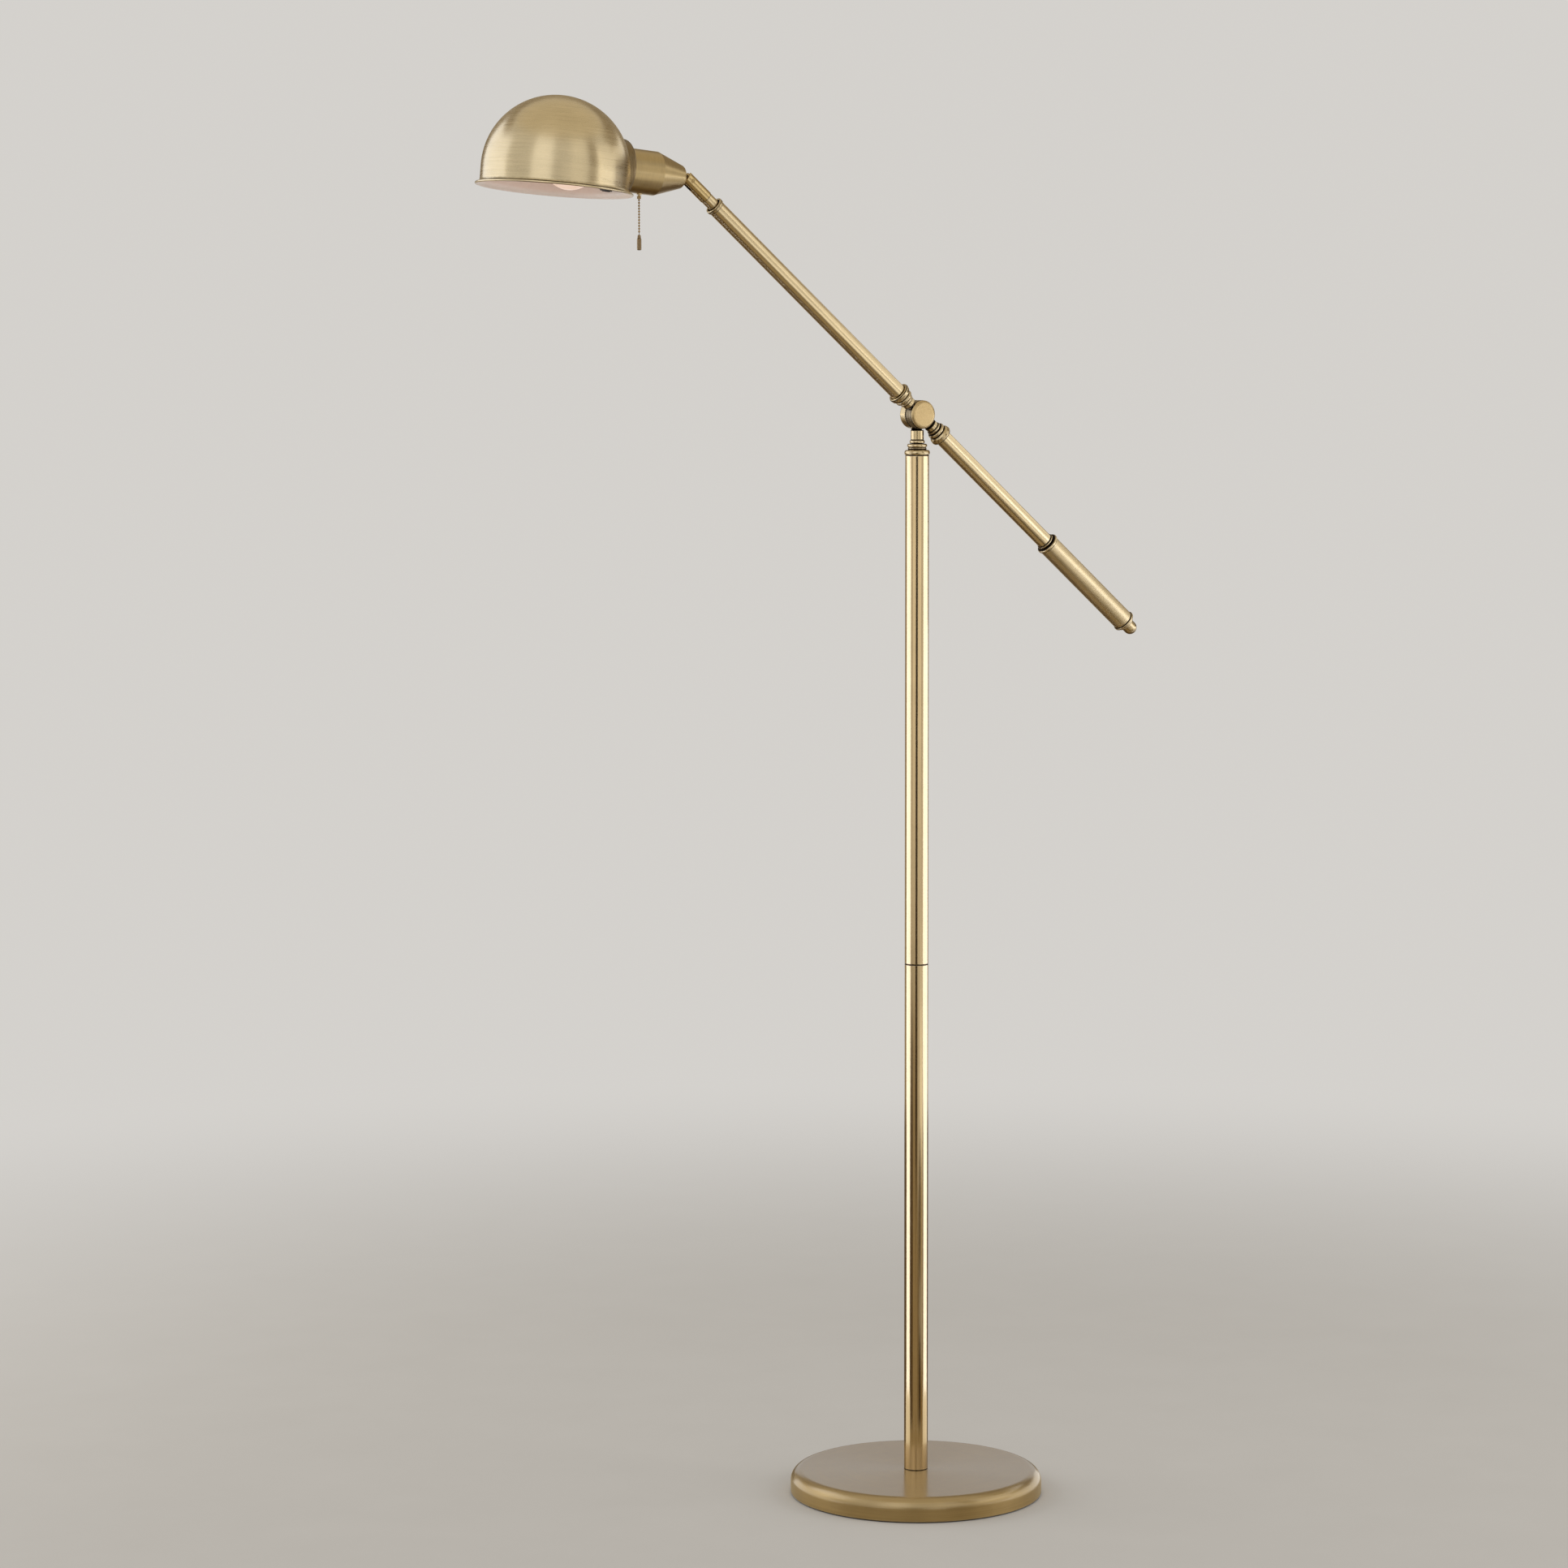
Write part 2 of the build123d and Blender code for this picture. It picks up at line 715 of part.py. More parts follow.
def swivel_retainer():
    return upper_arm * tube(swivel_spindle_radius + swivel_retainer_overhang,
                            swivel_spindle_radius + slip_clearance,
                            retainer_top() - swivel_retainer_length, retainer_top())


def hinge_pin():
    pin = Rot(0, 90, 0) * Cylinder(pin_radius, 2 * (fork_radius - pin_end_inset))
    return upper_arm * (Pos(0, 0, pin_distance) * pin)


# Head that tilts in the fork, drawn in the socket's frame

def hinge_tongue():
    root_half_width = eye_outer_radius - tongue_root_step
    side_view = Plane(origin=(0, 0, 0), x_dir=(0, 0, 1), z_dir=(0, 1, 0))
    eye = Pos(0, -socket_rise) * Circle(eye_outer_radius)
    root = Line((nose_start, -root_half_width), (nose_start, root_half_width))
    outline = make_hull(eye.edges() + [root])
    plate = extrude(side_view * outline, tongue_thickness / 2, both=True)
    stud = disc(tongue_stud_radius, nose_start,
                nose_start + cup_wall + tongue_nut_height + tongue_stud_tail)
    pin_hole = Pos(-socket_rise, 0, 0) * (Rot(90, 0, 0) * Cylinder(pin_radius + running_clearance,
                                                                   tongue_thickness))
    return plate + stud - pin_hole


def tongue_nut():
    return hex_nut(tongue_stud_radius + tongue_nut_wall, tongue_stud_radius + slip_clearance,
                   nose_start + cup_wall, nose_start + cup_wall + tongue_nut_height)


def nose_arc(flat_radius, inset):
    """Start point, middle and end of the nose's rounded edge, at a depth below the outer skin."""
    radius = nose_round - inset
    centre_z = nose_start + nose_round
    slope = radians(nose_angle)
    halfway = radians((90 + nose_angle) / 2)
    return ((flat_radius, centre_z - radius),
            (flat_radius + radius * cos(halfway), centre_z - radius * sin(halfway)),
            (flat_radius + radius * cos(slope), centre_z - radius * sin(slope)))


def socket_cup():
    slope = radians(nose_angle)
    flat_radius = nose_end_radius - nose_round * (1 - sin(slope)) / cos(slope)
    stud_hole = tongue_stud_radius + slip_clearance
    outer_start, outer_middle, outer_end = nose_arc(flat_radius, 0)
    inner_start, inner_middle, inner_end = nose_arc(flat_radius, cup_wall)
    inner_crease = crease + cup_wall * (1 - cos(slope)) / sin(slope)
    cup = turned((stud_hole, nose_start), outer_start, (outer_middle, outer_end), (cup_radius, crease),
                 (cup_radius, seat_face), (cup_inner, seat_face), (cup_inner, inner_crease),
                 inner_end, (inner_middle, inner_start), (stud_hole, nose_start + cup_wall))
    return cup - pull_axis * disc(guide_bore + guide_wall + slip_clearance, -cup_radius, switch_bottom)


def flare_point(radius_out, turn):
    """Point on the rim's outward flare, at a distance from the flare's own centre."""
    return (dome_radius + lip_radius - radius_out * cos(radians(turn)),
            -skirt_length - radius_out * sin(radians(turn)))


def shade_envelope(offset):
    """The shade's outside as a filled solid, swollen by the offset."""
    radius = dome_radius + offset
    flare = lip_radius - offset
    foot = flare_point(flare, lip_sweep)
    return turned((0, radius), (rounding((radius, 0), (0, radius)), (radius, 0)), (radius, -skirt_length),
                  (flare_point(flare, lip_sweep / 2), foot), (0, foot[1]))


def shade():
    rim = flare_point(lip_radius + shade_wall / 2, lip_sweep)
    rolled_edge = revolve(Plane.XZ * (Pos(*rim) * Circle(rim_bead_radius)), axis=Axis.Z)
    inside = shade_envelope(-shade_wall)
    below = disc(dome_radius, rim[1] - rim_bead_radius, rim[1])
    shell = shade_envelope(0) - inside - below + rolled_edge
    return dome_axis * shell - disc(shade_hole, seat_face, dome_distance)


def shade_seat():
    pad = disc(seat_radius, seat_face, dome_distance)
    pad = fillet(pad.edges().group_by(Axis.Z)[0], seat_edge_radius)
    pad -= dome_axis * shade_envelope(slip_clearance)
    lip_room = disc(2 * dome_radius, -2 * dome_radius, -(skirt_length - seat_lip_gap))
    pad -= dome_axis * lip_room
    pad -= disc(shade_hole, seat_face, dome_distance)
    behind = dome_axis * (Pos(-dome_radius / 2, 0, 0) * block(dome_radius, 2 * dome_radius,
                                                              -dome_radius, dome_radius))
    return pad - behind


def saddle_washer():
    washer = disc(barrel_radius + saddle_washer_overhang, seat_face, saddle_flat)
    washer -= disc(shade_hole, seat_face, saddle_flat)
    return washer & (dome_axis * shade_envelope(-shade_wall - slip_clearance))


def shade_ring_nut():
    return tube(barrel_radius + ring_nut_overhang, barrel_radius + slip_clearance, saddle_flat,
                saddle_flat + ring_nut_length)


def lampholder_body():
    body = disc(holder_radius, seat_face - holder_body_length, seat_face)
    body += disc(barrel_radius, seat_face, barrel_end)
    body -= disc(holder_bore, holder_floor, barrel_end)
    pocket = disc(switch_radius + slip_clearance, -holder_radius, switch_ceiling + switch_skin)
    return body - pull_axis * pocket


def lampholder_shell():
    return tube(shell_radius, shell_radius - shell_wall, holder_floor, holder_floor + shell_length)


def lampholder_contact():
    return disc(contact_radius, holder_floor, holder_floor + contact_height)


def bulb_cap():
    tip = tube(contact_radius, 0, holder_floor + contact_height, bulb_cap_start)
    return tip + disc(bulb_cap_radius, bulb_cap_start, bulb_glass_start)


def bulb_side(inset):
    """Steps up the bulb's neck and round its globe, at a depth below its outer skin."""
    globe = bulb_radius - inset
    neck = bulb_cap_radius - bulb_neck_inset - inset
    neck_end = bulb_glass_start + bulb_neck_length
    centre = bulb_glass_start + bulb_centre_distance
    drop = neck_end - centre
    tangent = atan2(drop, neck) + acos(globe / hypot(neck, drop))
    halfway = (tangent + radians(90)) / 2
    return [(neck, bulb_glass_start), (neck, neck_end),
            (globe * cos(tangent), centre + globe * sin(tangent)),
            ((globe * cos(halfway), centre + globe * sin(halfway)), (0, centre + globe))]


def bulb_glass():
    return turned((0, bulb_glass_start), *bulb_side(0)) - turned((0, bulb_glass_start), *bulb_side(bulb_wall))


def pull_switch_body():
    case = disc(switch_radius, switch_bottom, switch_ceiling + switch_skin)
    room = disc(guide_bore + moving_gap, switch_bottom + switch_skin, switch_ceiling)
    return pull_axis * (case - room - disc(shackle_radius + moving_gap, switch_bottom, switch_ceiling))


def chain_guide():
    return pull_axis * tube(guide_bore + guide_wall, guide_bore, -cup_radius - guide_reach, switch_bottom)


# Pull shackle that slides down, and the chain that swings on it

def pull_shackle():
    collar_ceiling = switch_ceiling - moving_gap
    rod = disc(shackle_radius, eye_height, collar_ceiling)
    collar = disc(guide_bore, collar_ceiling - shackle_collar_height, collar_ceiling)
    eye = Pos(0, 0, eye_height) * Sphere(eye_radius)
    pin_hole = Pos(0, 0, eye_height) * (Rot(90, 0, 0) * Cylinder(yoke_pin_radius + running_clearance,
                                                                 2 * eye_radius))
    return pull_axis * (rod + collar + eye - pin_hole)


def pull_chain():
    room = eye_radius + moving_gap
    width = 2 * (room + yoke_plate)
    yoke = block(2 * yoke_half_width, width, -room - yoke_plate, 0)
    yoke += Rot(90, 0, 0) * Cylinder(yoke_half_width, width)
    yoke -= block(2 * yoke_half_width, 2 * room, -room, yoke_half_width)
    yoke += Rot(90, 0, 0) * Cylinder(yoke_pin_radius, width)
    chain = yoke + disc(chain_wire_radius, -chain_length - bell_hole_depth, -room)
    first_bead = room + yoke_plate + bead_radius
    count = int((chain_length - bead_radius - first_bead) / bead_pitch) + 1
    for index in range(count):
        chain += Pos(0, 0, -first_bead - index * bead_pitch) * Sphere(bead_radius)
    return chain_frame * chain


def chain_bell():
    top = -chain_length
    bottom = top - bell_length
    hole = chain_wire_radius + slip_clearance
    shoulder = (bell_top_radius, top - bell_top_radius)
    crown = (hole, top)
    skirt = (bell_end_radius, bottom + bell_end_radius)
    tip = (0, bottom)
    bell = turned(crown, (rounding(shoulder, crown), shoulder), skirt, (rounding(skirt, tip), tip),
                  (0, top - bell_hole_depth), (hole, top - bell_hole_depth))
    return chain_frame * bell


nodes = {
    "base_pad": base_pad(),
    "base_weight": base_weight(),
    "base_cover": base_cover(),
    "base_washer": base_washer(),
    "base_nut": base_nut(),
    "base_nipple": base_nipple(),
    "cord_bushing": cord_bushing(),
    "pole_foot_plug": pole_foot_plug(),
    "pole_lower_tube": pole_lower_tube(),
    "pole_coupler": pole_coupler(),
    "pole_upper_tube": pole_upper_tube(),
    "pole_collar": pole_collar(),
    "neck_stem": neck_stem(),
    "spindle_washer": spindle_washer(),
    "spindle_nut": spindle_nut(),
    "knuckle_rear": knuckle_rear(),
    "friction_washer": friction_washer(),
    "pivot_bolt": pivot_bolt(),
    "spring_washer": spring_washer(),
    "knuckle_front": knuckle_front(),
    "pivot_cap": pivot_cap(),
    "upper_arm_collar": arm_collar(upper_arm),
    "upper_arm_tube": arm_tube(upper_arm, upper_arm_end),
    "arm_end_ferrule": arm_end_ferrule(),
    "swivel_base": swivel_base(),
    "lower_arm_collar": arm_collar(lower_arm),
    "lower_arm_tube": arm_tube(lower_arm, lower_arm_end),
    "counterweight_collar": counterweight_collar(),
    "counterweight_sleeve": counterweight_sleeve(),
    "counterweight_slug": counterweight_slug(),
    "counterweight_end_cap": counterweight_end_cap(),
    "counterweight_finial": counterweight_finial(),
    "swivel_fork": swivel_fork(),
    "swivel_retainer": swivel_retainer(),
    "hinge_pin": hinge_pin(),
    "hinge_tongue": socket * hinge_tongue(),
    "tongue_nut": socket * tongue_nut(),
    "socket_cup": socket * socket_cup(),
    "shade_seat": socket * shade_seat(),
    "shade": socket * shade(),
    "saddle_washer": socket * saddle_washer(),
    "shade_ring_nut": socket * shade_ring_nut(),
    "lampholder_body": socket * lampholder_body(),
    "lampholder_shell": socket * lampholder_shell(),
    "lampholder_contact": socket * lampholder_contact(),
    "bulb_cap": socket * bulb_cap(),
    "bulb_glass": socket * bulb_glass(),
    "pull_switch_body": socket * pull_switch_body(),
    "chain_guide": socket * chain_guide(),
    "pull_shackle": socket * pull_shackle(),
    "pull_chain": pull_chain(),
    "chain_bell": chain_bell(),
}

os.makedirs("parts", exist_ok=True)
for name, solid in nodes.items():
    export_step(solid, f"parts/{name}.step")
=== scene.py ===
import math

import bmesh
import bpy
from mathutils import Matrix, Vector


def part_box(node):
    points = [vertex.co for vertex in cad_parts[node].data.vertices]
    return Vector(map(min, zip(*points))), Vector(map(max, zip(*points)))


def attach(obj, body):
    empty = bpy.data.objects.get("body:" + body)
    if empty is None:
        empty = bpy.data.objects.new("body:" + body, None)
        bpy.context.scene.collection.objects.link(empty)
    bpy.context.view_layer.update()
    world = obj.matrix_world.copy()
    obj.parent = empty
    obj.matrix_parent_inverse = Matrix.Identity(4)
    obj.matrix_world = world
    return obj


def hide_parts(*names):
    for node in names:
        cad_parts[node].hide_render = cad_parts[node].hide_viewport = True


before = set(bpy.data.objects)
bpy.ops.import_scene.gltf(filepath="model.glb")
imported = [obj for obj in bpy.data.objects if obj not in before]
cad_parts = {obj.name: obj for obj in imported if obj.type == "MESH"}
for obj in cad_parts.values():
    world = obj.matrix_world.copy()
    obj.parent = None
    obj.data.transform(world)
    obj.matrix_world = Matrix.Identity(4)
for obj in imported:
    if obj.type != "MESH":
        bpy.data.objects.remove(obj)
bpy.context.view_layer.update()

# Felt pad under the base: a die-cut disc of dark pressed wool, glued to the casting so that
# the lamp slides without scratching the floor.


def node(tree, kind, sockets=None, **settings):
    """One node of a material or a geometry tree. A socket given as another node's output is linked to it,
    anything else is set."""
    made = tree.nodes.new(kind)
    for key, value in settings.items():
        setattr(made, key, value)
    for key, value in (sockets or {}).items():
        if isinstance(value, bpy.types.NodeSocket):
            tree.links.new(value, made.inputs[key])
        else:
            made.inputs[key].default_value = value
    return made


def finish(name, **constants):
    """A new material with its Principled shader; underscores in the socket names stand for spaces."""
    material = bpy.data.materials.new(name)
    material.use_nodes = True
    shader = material.node_tree.nodes["Principled BSDF"]
    for key, value in constants.items():
        shader.inputs[key.replace("_", " ")].default_value = value
    return material, material.node_tree, shader


def tones(tree, value, dark, light):
    """Two tones of one colour, mixed by a value that changes over the surface."""
    sockets = {"Factor": value, 6: (*dark, 1), 7: (*light, 1)}
    return node(tree, "ShaderNodeMix", sockets, data_type="RGBA").outputs[2]


def between(tree, value, low, high, start=0.0, end=1.0, way="LINEAR"):
    """A value that runs from start to end, spread over another span."""
    sockets = {"Value": value, "From Min": start, "From Max": end, "To Min": low, "To Max": high}
    return node(tree, "ShaderNodeMapRange", sockets, interpolation_type=way).outputs[0]


def grain(tree, scale, detail=3.0, roughness=0.6, stretch=(1, 1, 1)):
    """Noise on the piece's own coordinates, with so many grains to the metre."""
    place = node(tree, "ShaderNodeTexCoord").outputs["Object"]
    place = node(tree, "ShaderNodeMapping", {"Vector": place, "Scale": stretch}).outputs[0]
    sockets = {"Vector": place, "Scale": scale, "Detail": detail, "Roughness": roughness}
    return node(tree, "ShaderNodeTexNoise", sockets).outputs[0]


def raised(tree, shader, height, strength, depth, over=None):
    """Fine relief from a height that changes over the surface, laid over an earlier relief if any."""
    bump = node(tree, "ShaderNodeBump", {"Height": height, "Strength": strength, "Distance": depth})
    if over:
        tree.links.new(over, bump.inputs["Normal"])
    tree.links.new(bump.outputs[0], shader.inputs["Normal"])
    return bump.outputs[0]


def mottled(name, grains, dark, light, gloss, relief, stretch=(1, 1, 1), **constants):
    """A finish whose two tones, span of roughness and relief (strength, depth) all follow one grain."""
    material, tree, shader = finish(name, **constants)
    pattern = grain(tree, *grains, stretch)
    tree.links.new(tones(tree, pattern, dark, light), shader.inputs["Base Color"])
    if gloss:
        tree.links.new(between(tree, pattern, *gloss), shader.inputs["Roughness"])
    raised(tree, shader, pattern, *relief)
    return material


def dress(material, *names):
    """Gives CAD nodes that keep their own shape a finish."""
    for name in names:
        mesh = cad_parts[name].data
        mesh.materials.clear()
        mesh.materials.append(material)


felt = mottled("pressed_felt", (900, 5, 0.75), (0.012, 0.010, 0.009), (0.060, 0.050, 0.042),
               None, (0.8, 0.0004), Roughness=0.95, Sheen_Weight=0.4, Sheen_Roughness=0.5)
dress(felt, "base_pad")

# Base weight: a sand-cast iron disc with a channel for the lead, painted black against rust.
# It stays hidden under the cover and shows only from below, round the felt.
iron = mottled("black_painted_casting", (420, 4, 0.7), (0.014, 0.014, 0.015), (0.050, 0.047, 0.044),
               (0.45, 0.75), (0.6, 0.0006), Specular_IOR_Level=0.35)
dress(iron, "base_weight")

# Nipple, nut and washer that clamp cover, casting and pole together: zinc-plated steel, with
# the cloudy spangle of the plating. The other hidden bolts, nuts and washers have it too.
zinc, zinc_tree, zinc_shader = finish("zinc_plated_steel", Metallic=1.0)
zinc_cloud = grain(zinc_tree, 260, 3, 0.55)
zinc_tree.links.new(tones(zinc_tree, zinc_cloud, (0.40, 0.40, 0.39), (0.66, 0.65, 0.62)),
                    zinc_shader.inputs["Base Color"])
zinc_tree.links.new(between(zinc_tree, zinc_cloud, 0.24, 0.46), zinc_shader.inputs["Roughness"])
raised(zinc_tree, zinc_shader, grain(zinc_tree, 2600, 2, 0.5), 0.15, 0.00004)
dress(zinc, "base_washer", "base_nut", "base_nipple", "spindle_washer", "spindle_nut", "pivot_bolt",
      "spring_washer", "counterweight_slug", "swivel_retainer", "tongue_nut", "saddle_washer",
      "lampholder_shell", "lampholder_contact", "bulb_cap")

# Cord bushing at the back of the base: a moulded black ring that keeps the cover's edge off the lead.
# The lampholder and the pull switch inside the socket cup are the same moulded black plastic.
plastic = mottled("moulded_black_plastic", (1500, 3, 0.6), (0.011, 0.010, 0.010), (0.024, 0.022, 0.021),
                  (0.34, 0.52), (0.2, 0.00008), Specular_IOR_Level=0.45)
dress(plastic, "cord_bushing", "lampholder_body", "pull_switch_body")

# Base cover: sheet brass spun over a former into a low drum with a broad rounded edge, then
# brushed on the lathe and aged. The brushing runs in rings round the middle.


def rounded(corners, steps=8):
    """The outline of a turned piece in millimetres, from corners (radius, height, rounding of the corner)."""
    outline = []
    for index, (radius, height, *rounding) in enumerate(corners):
        corner = Vector((radius, height))
        before = Vector(corners[index - 1][:2]) - corner
        after = Vector(corners[(index + 1) % len(corners)][:2]) - corner
        if not rounding:
            outline.append(corner)
            continue
        half = before.angle(after) / 2
        reach = min(rounding[0] / math.tan(half), before.length * 0.499, after.length * 0.499)
        centre = corner + (before.normalized() + after.normalized()).normalized() * reach / math.cos(half)
        start = corner + before.normalized() * reach - centre
        end = corner + after.normalized() * reach - centre
        turn = start.angle_signed(end)
        for step in range(steps + 1):
            outline.append(centre + Matrix.Rotation(-turn * step / steps, 2) @ start)
    return outline


def on_axis(origin, axis):
    """A frame in millimetres with z along a piece's own axis."""
    z = Vector(axis).normalized()
    x = Vector((0, 1, 0)) if abs(z.y) < 0.9 else Vector((1, 0, 0))
    x = (x - z * x.dot(z)).normalized()
    frame_matrix = Matrix((x, z.cross(x), z)).transposed().to_4x4()
    frame_matrix.translation = Vector(origin)
    return frame_matrix


def aged_points(outline, closed):
    """Outline points with where dirt gathers and where handling wears the edge bright, each from 0 to 1.
    A long straight run gets points near its ends, so that the ageing stays by its edges."""
    long_run, near, far, feeler, hair = 3.4, 0.6, 1.4, 1.1, 0.05
    full_dirt, wear_from, full_wear = 0.45, 0.10, 0.6
    points, source = [], []
    count = len(outline)
    for index in range(count):
        start, end = outline[index], outline[(index + 1) % count]
        points.append(start)
        source.append(index)
        length = (end - start).length
        if length > long_run and (closed or index < count - 1):
            for reach in (near, far, length - far, length - near):
                points.append(start.lerp(end, reach / length))
                source.append(index)
    path = points + [points[0]] if closed else points
    along = [0.0]
    for a, b in zip(path, path[1:]):
        along.append(along[-1] + (b - a).length)
    area = sum(a.x * b.y - b.x * a.y for a, b in zip(points, points[1:] + points[:1]))

    def at(distance):
        distance = distance % along[-1] if closed else min(max(distance, 0.0), along[-1])
        for k in range(len(path) - 1):
            if along[k + 1] >= distance:
                share = (distance - along[k]) / max(along[k + 1] - along[k], 1e-9)
                return path[k].lerp(path[k + 1], share)
        return path[-1]

    dirt_and_shade, worn = [], []
    for index, point in enumerate(points):
        back, ahead = at(along[index] - feeler), at(along[index] + feeler)
        tangent = (at(along[index] + hair) - at(along[index] - hair)).normalized()
        outward = Vector((tangent.y, -tangent.x)) * (1 if area > 0 else -1)
        hollow = ((back + ahead) / 2 - point).dot(outward)
        dirt_and_shade.append(min(max(hollow / full_dirt, 0.0), 1.0))
        worn.append(min(max((-hollow - wear_from) / full_wear, 0.0), 1.0))
    return points, source, along, dirt_and_shade, worn


def placed(name, data):
    """A new object in the scene."""
    thing = bpy.data.objects.new(name, data)
    bpy.context.scene.collection.objects.link(thing)
    return thing


def turned(name, outline, place, material, segments=72, lining=None, dark=()):
    """A lathe-turned piece: its outline spun about the frame's z, with the turning kept in a UV map. A lining
    is (outline index, material) for the faces from there on; dark is (height, reach) of each line painted
    dark: some are patina in grooves, some are painted shade or a painted dark reflection, and all share one
    mask with the dirt in the hollows."""
    outline = [Vector(p[:2]) for p in outline]
    closed = outline[0].x > 1e-6 or outline[-1].x > 1e-6
    points, source, along, dirt_and_shade, worn = aged_points(outline, closed)
    bm = bmesh.new()
    turning = bm.loops.layers.uv.new("turning")
    dirt_and_shade_layer = bm.verts.layers.float.new("dirt_and_shade")
    worn_layer = bm.verts.layers.float.new("worn")
    to_metres = Matrix.Scale(0.001, 4) @ place
    rings = []
    for point, grime_and_shade, rub in zip(points, dirt_and_shade, worn):
        # dark lines join the hollow dirt here; some of them are painted shade
        for height, reach in dark:
            grime_and_shade = max(grime_and_shade, math.exp(-((point.y - height) / reach) ** 2))
        spots = [(0.0, 0.0)] if point.x < 1e-6 else [
            (point.x * math.cos(math.tau * k / segments), point.x * math.sin(math.tau * k / segments))
            for k in range(segments)]
        ring = [bm.verts.new(to_metres @ Vector((x, y, point.y))) for x, y in spots]
        for vert in ring:
            vert[dirt_and_shade_layer], vert[worn_layer] = grime_and_shade, rub * (1 - grime_and_shade)
        rings.append(ring)
    for index in range(len(points) if closed else len(points) - 1):
        low, high = rings[index], rings[(index + 1) % len(points)]
        if len(low) == len(high) == 1:
            continue
        v_low, v_high = along[index] / 1000, along[index + 1] / 1000
        for k in range(segments):
            after, u, u_after = (k + 1) % segments, k / segments, (k + 1) / segments
            if len(low) == 1:
                corners = ((low[0], (u + u_after) / 2, v_low), (high[after], u_after, v_high),
                           (high[k], u, v_high))
            elif len(high) == 1:
                corners = ((low[k], u, v_low), (low[after], u_after, v_low),
                           (high[0], (u + u_after) / 2, v_high))
            else:
                corners = ((low[k], u, v_low), (low[after], u_after, v_low),
                           (high[after], u_after, v_high), (high[k], u, v_high))
            face = bm.faces.new([corner[0] for corner in corners])
            face.smooth = True
            face.material_index = 1 if lining and source[index] >= lining[0] else 0
            for loop, corner in zip(face.loops, corners):
                loop[turning].uv = corner[1:]
    bmesh.ops.recalc_face_normals(bm, faces=bm.faces)
    mesh = bpy.data.meshes.new(name)
    bm.to_mesh(mesh)
    bm.free()
    mesh.set_sharp_from_angle(angle=math.radians(40))
    mesh.materials.append(material)
    if lining:
        mesh.materials.append(lining[1])
    return placed(name, mesh)


def fit(piece, body, slot, *names):
    """Puts a finished piece on its body in place of CAD nodes."""
    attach(piece, body)
    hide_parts(*names)


def node_group(name, kind, inputs, outputs):
    """A new node group with its named sockets, and its input and output nodes."""
    tree = bpy.data.node_groups.new(name, kind)
    for way, sockets in (("INPUT", inputs), ("OUTPUT", outputs)):
        for socket_name, socket_kind in sockets.items():
            tree.interface.new_socket(socket_name, in_out=way, socket_type="NodeSocket" + socket_kind)
    return tree, tree.nodes.new("NodeGroupInput"), tree.nodes.new("NodeGroupOutput")


def reckon(tree, operation, *values):
    """The result of a Math node."""
    return node(tree, "ShaderNodeMath", dict(enumerate(values)), operation=operation).outputs[0]


turning_marks, marks_in, marks_out = node_group(
    "turning_marks", "ShaderNodeTree", {"Around": "Float", "Across": "Float"}, {"Marks": "Float"})
marks_uv = node(turning_marks, "ShaderNodeUVMap", uv_map="turning")
marks_split = node(turning_marks, "ShaderNodeSeparateXYZ", {0: marks_uv.outputs[0]})
marks_angle = reckon(turning_marks, "MULTIPLY", marks_split.outputs[0], math.tau)
marks_cos = reckon(turning_marks, "COSINE", marks_angle)
marks_sin = reckon(turning_marks, "SINE", marks_angle)
marks_x = reckon(turning_marks, "MULTIPLY", marks_cos, marks_in.outputs["Around"])
marks_y = reckon(turning_marks, "MULTIPLY", marks_sin, marks_in.outputs["Around"])
marks_z = reckon(turning_marks, "MULTIPLY", marks_split.outputs[1], marks_in.outputs["Across"])
marks_spot = node(turning_marks, "ShaderNodeCombineXYZ", {0: marks_x, 1: marks_y, 2: marks_z})
marks_noise = node(turning_marks, "ShaderNodeTexNoise",
                   {"Vector": marks_spot.outputs[0], "Scale": 1.0, "Detail": 4.0, "Roughness": 0.62})
turning_marks.links.new(marks_noise.outputs[0], marks_out.inputs["Marks"])

# Dirt in hollows, patina and the painted shade of the dark lines share one mask, which mixes the metal
# towards the dark patina colour.
ageing_and_shade, ageing_in, ageing_out = node_group(
    "ageing_and_shade", "ShaderNodeTree", {"Metal": "Color", "Patina and shade": "Color", "Rubbed": "Color", "Marks": "Float"},
    {"Colour": "Color", "Grime and shade": "Float"})
ageing_dirt_and_shade = node(ageing_and_shade, "ShaderNodeAttribute", attribute_name="dirt_and_shade")
ageing_worn = node(ageing_and_shade, "ShaderNodeAttribute", attribute_name="worn")
ageing_break = reckon(ageing_and_shade, "MULTIPLY_ADD", grain(ageing_and_shade, 420, 3, 0.6), 0.3, -0.15)
dirt_and_shade_sum = reckon(ageing_and_shade, "ADD", ageing_dirt_and_shade.outputs["Fac"], ageing_break)
ageing_grime_and_shade = between(ageing_and_shade, dirt_and_shade_sum, 0.0, 1.0, 0.22, 0.72, "SMOOTHSTEP")
ageing_tone = between(ageing_and_shade, grain(ageing_and_shade, 38, 4, 0.6), 0.96, 1.04, 0.3, 0.7)
ageing_line = between(ageing_and_shade, ageing_in.outputs["Marks"], 0.92, 1.08, 0.3, 0.7)
ageing_level = reckon(ageing_and_shade, "MULTIPLY", ageing_tone, ageing_line)
ageing_rub = node(ageing_and_shade, "ShaderNodeMix", {
    "Factor": ageing_worn.outputs["Fac"], 6: ageing_in.outputs["Metal"], 7: ageing_in.outputs["Rubbed"]},
    data_type="RGBA")
ageing_lit = node(ageing_and_shade, "ShaderNodeVectorMath", {0: ageing_rub.outputs[2], "Scale": ageing_level},
                  operation="SCALE")
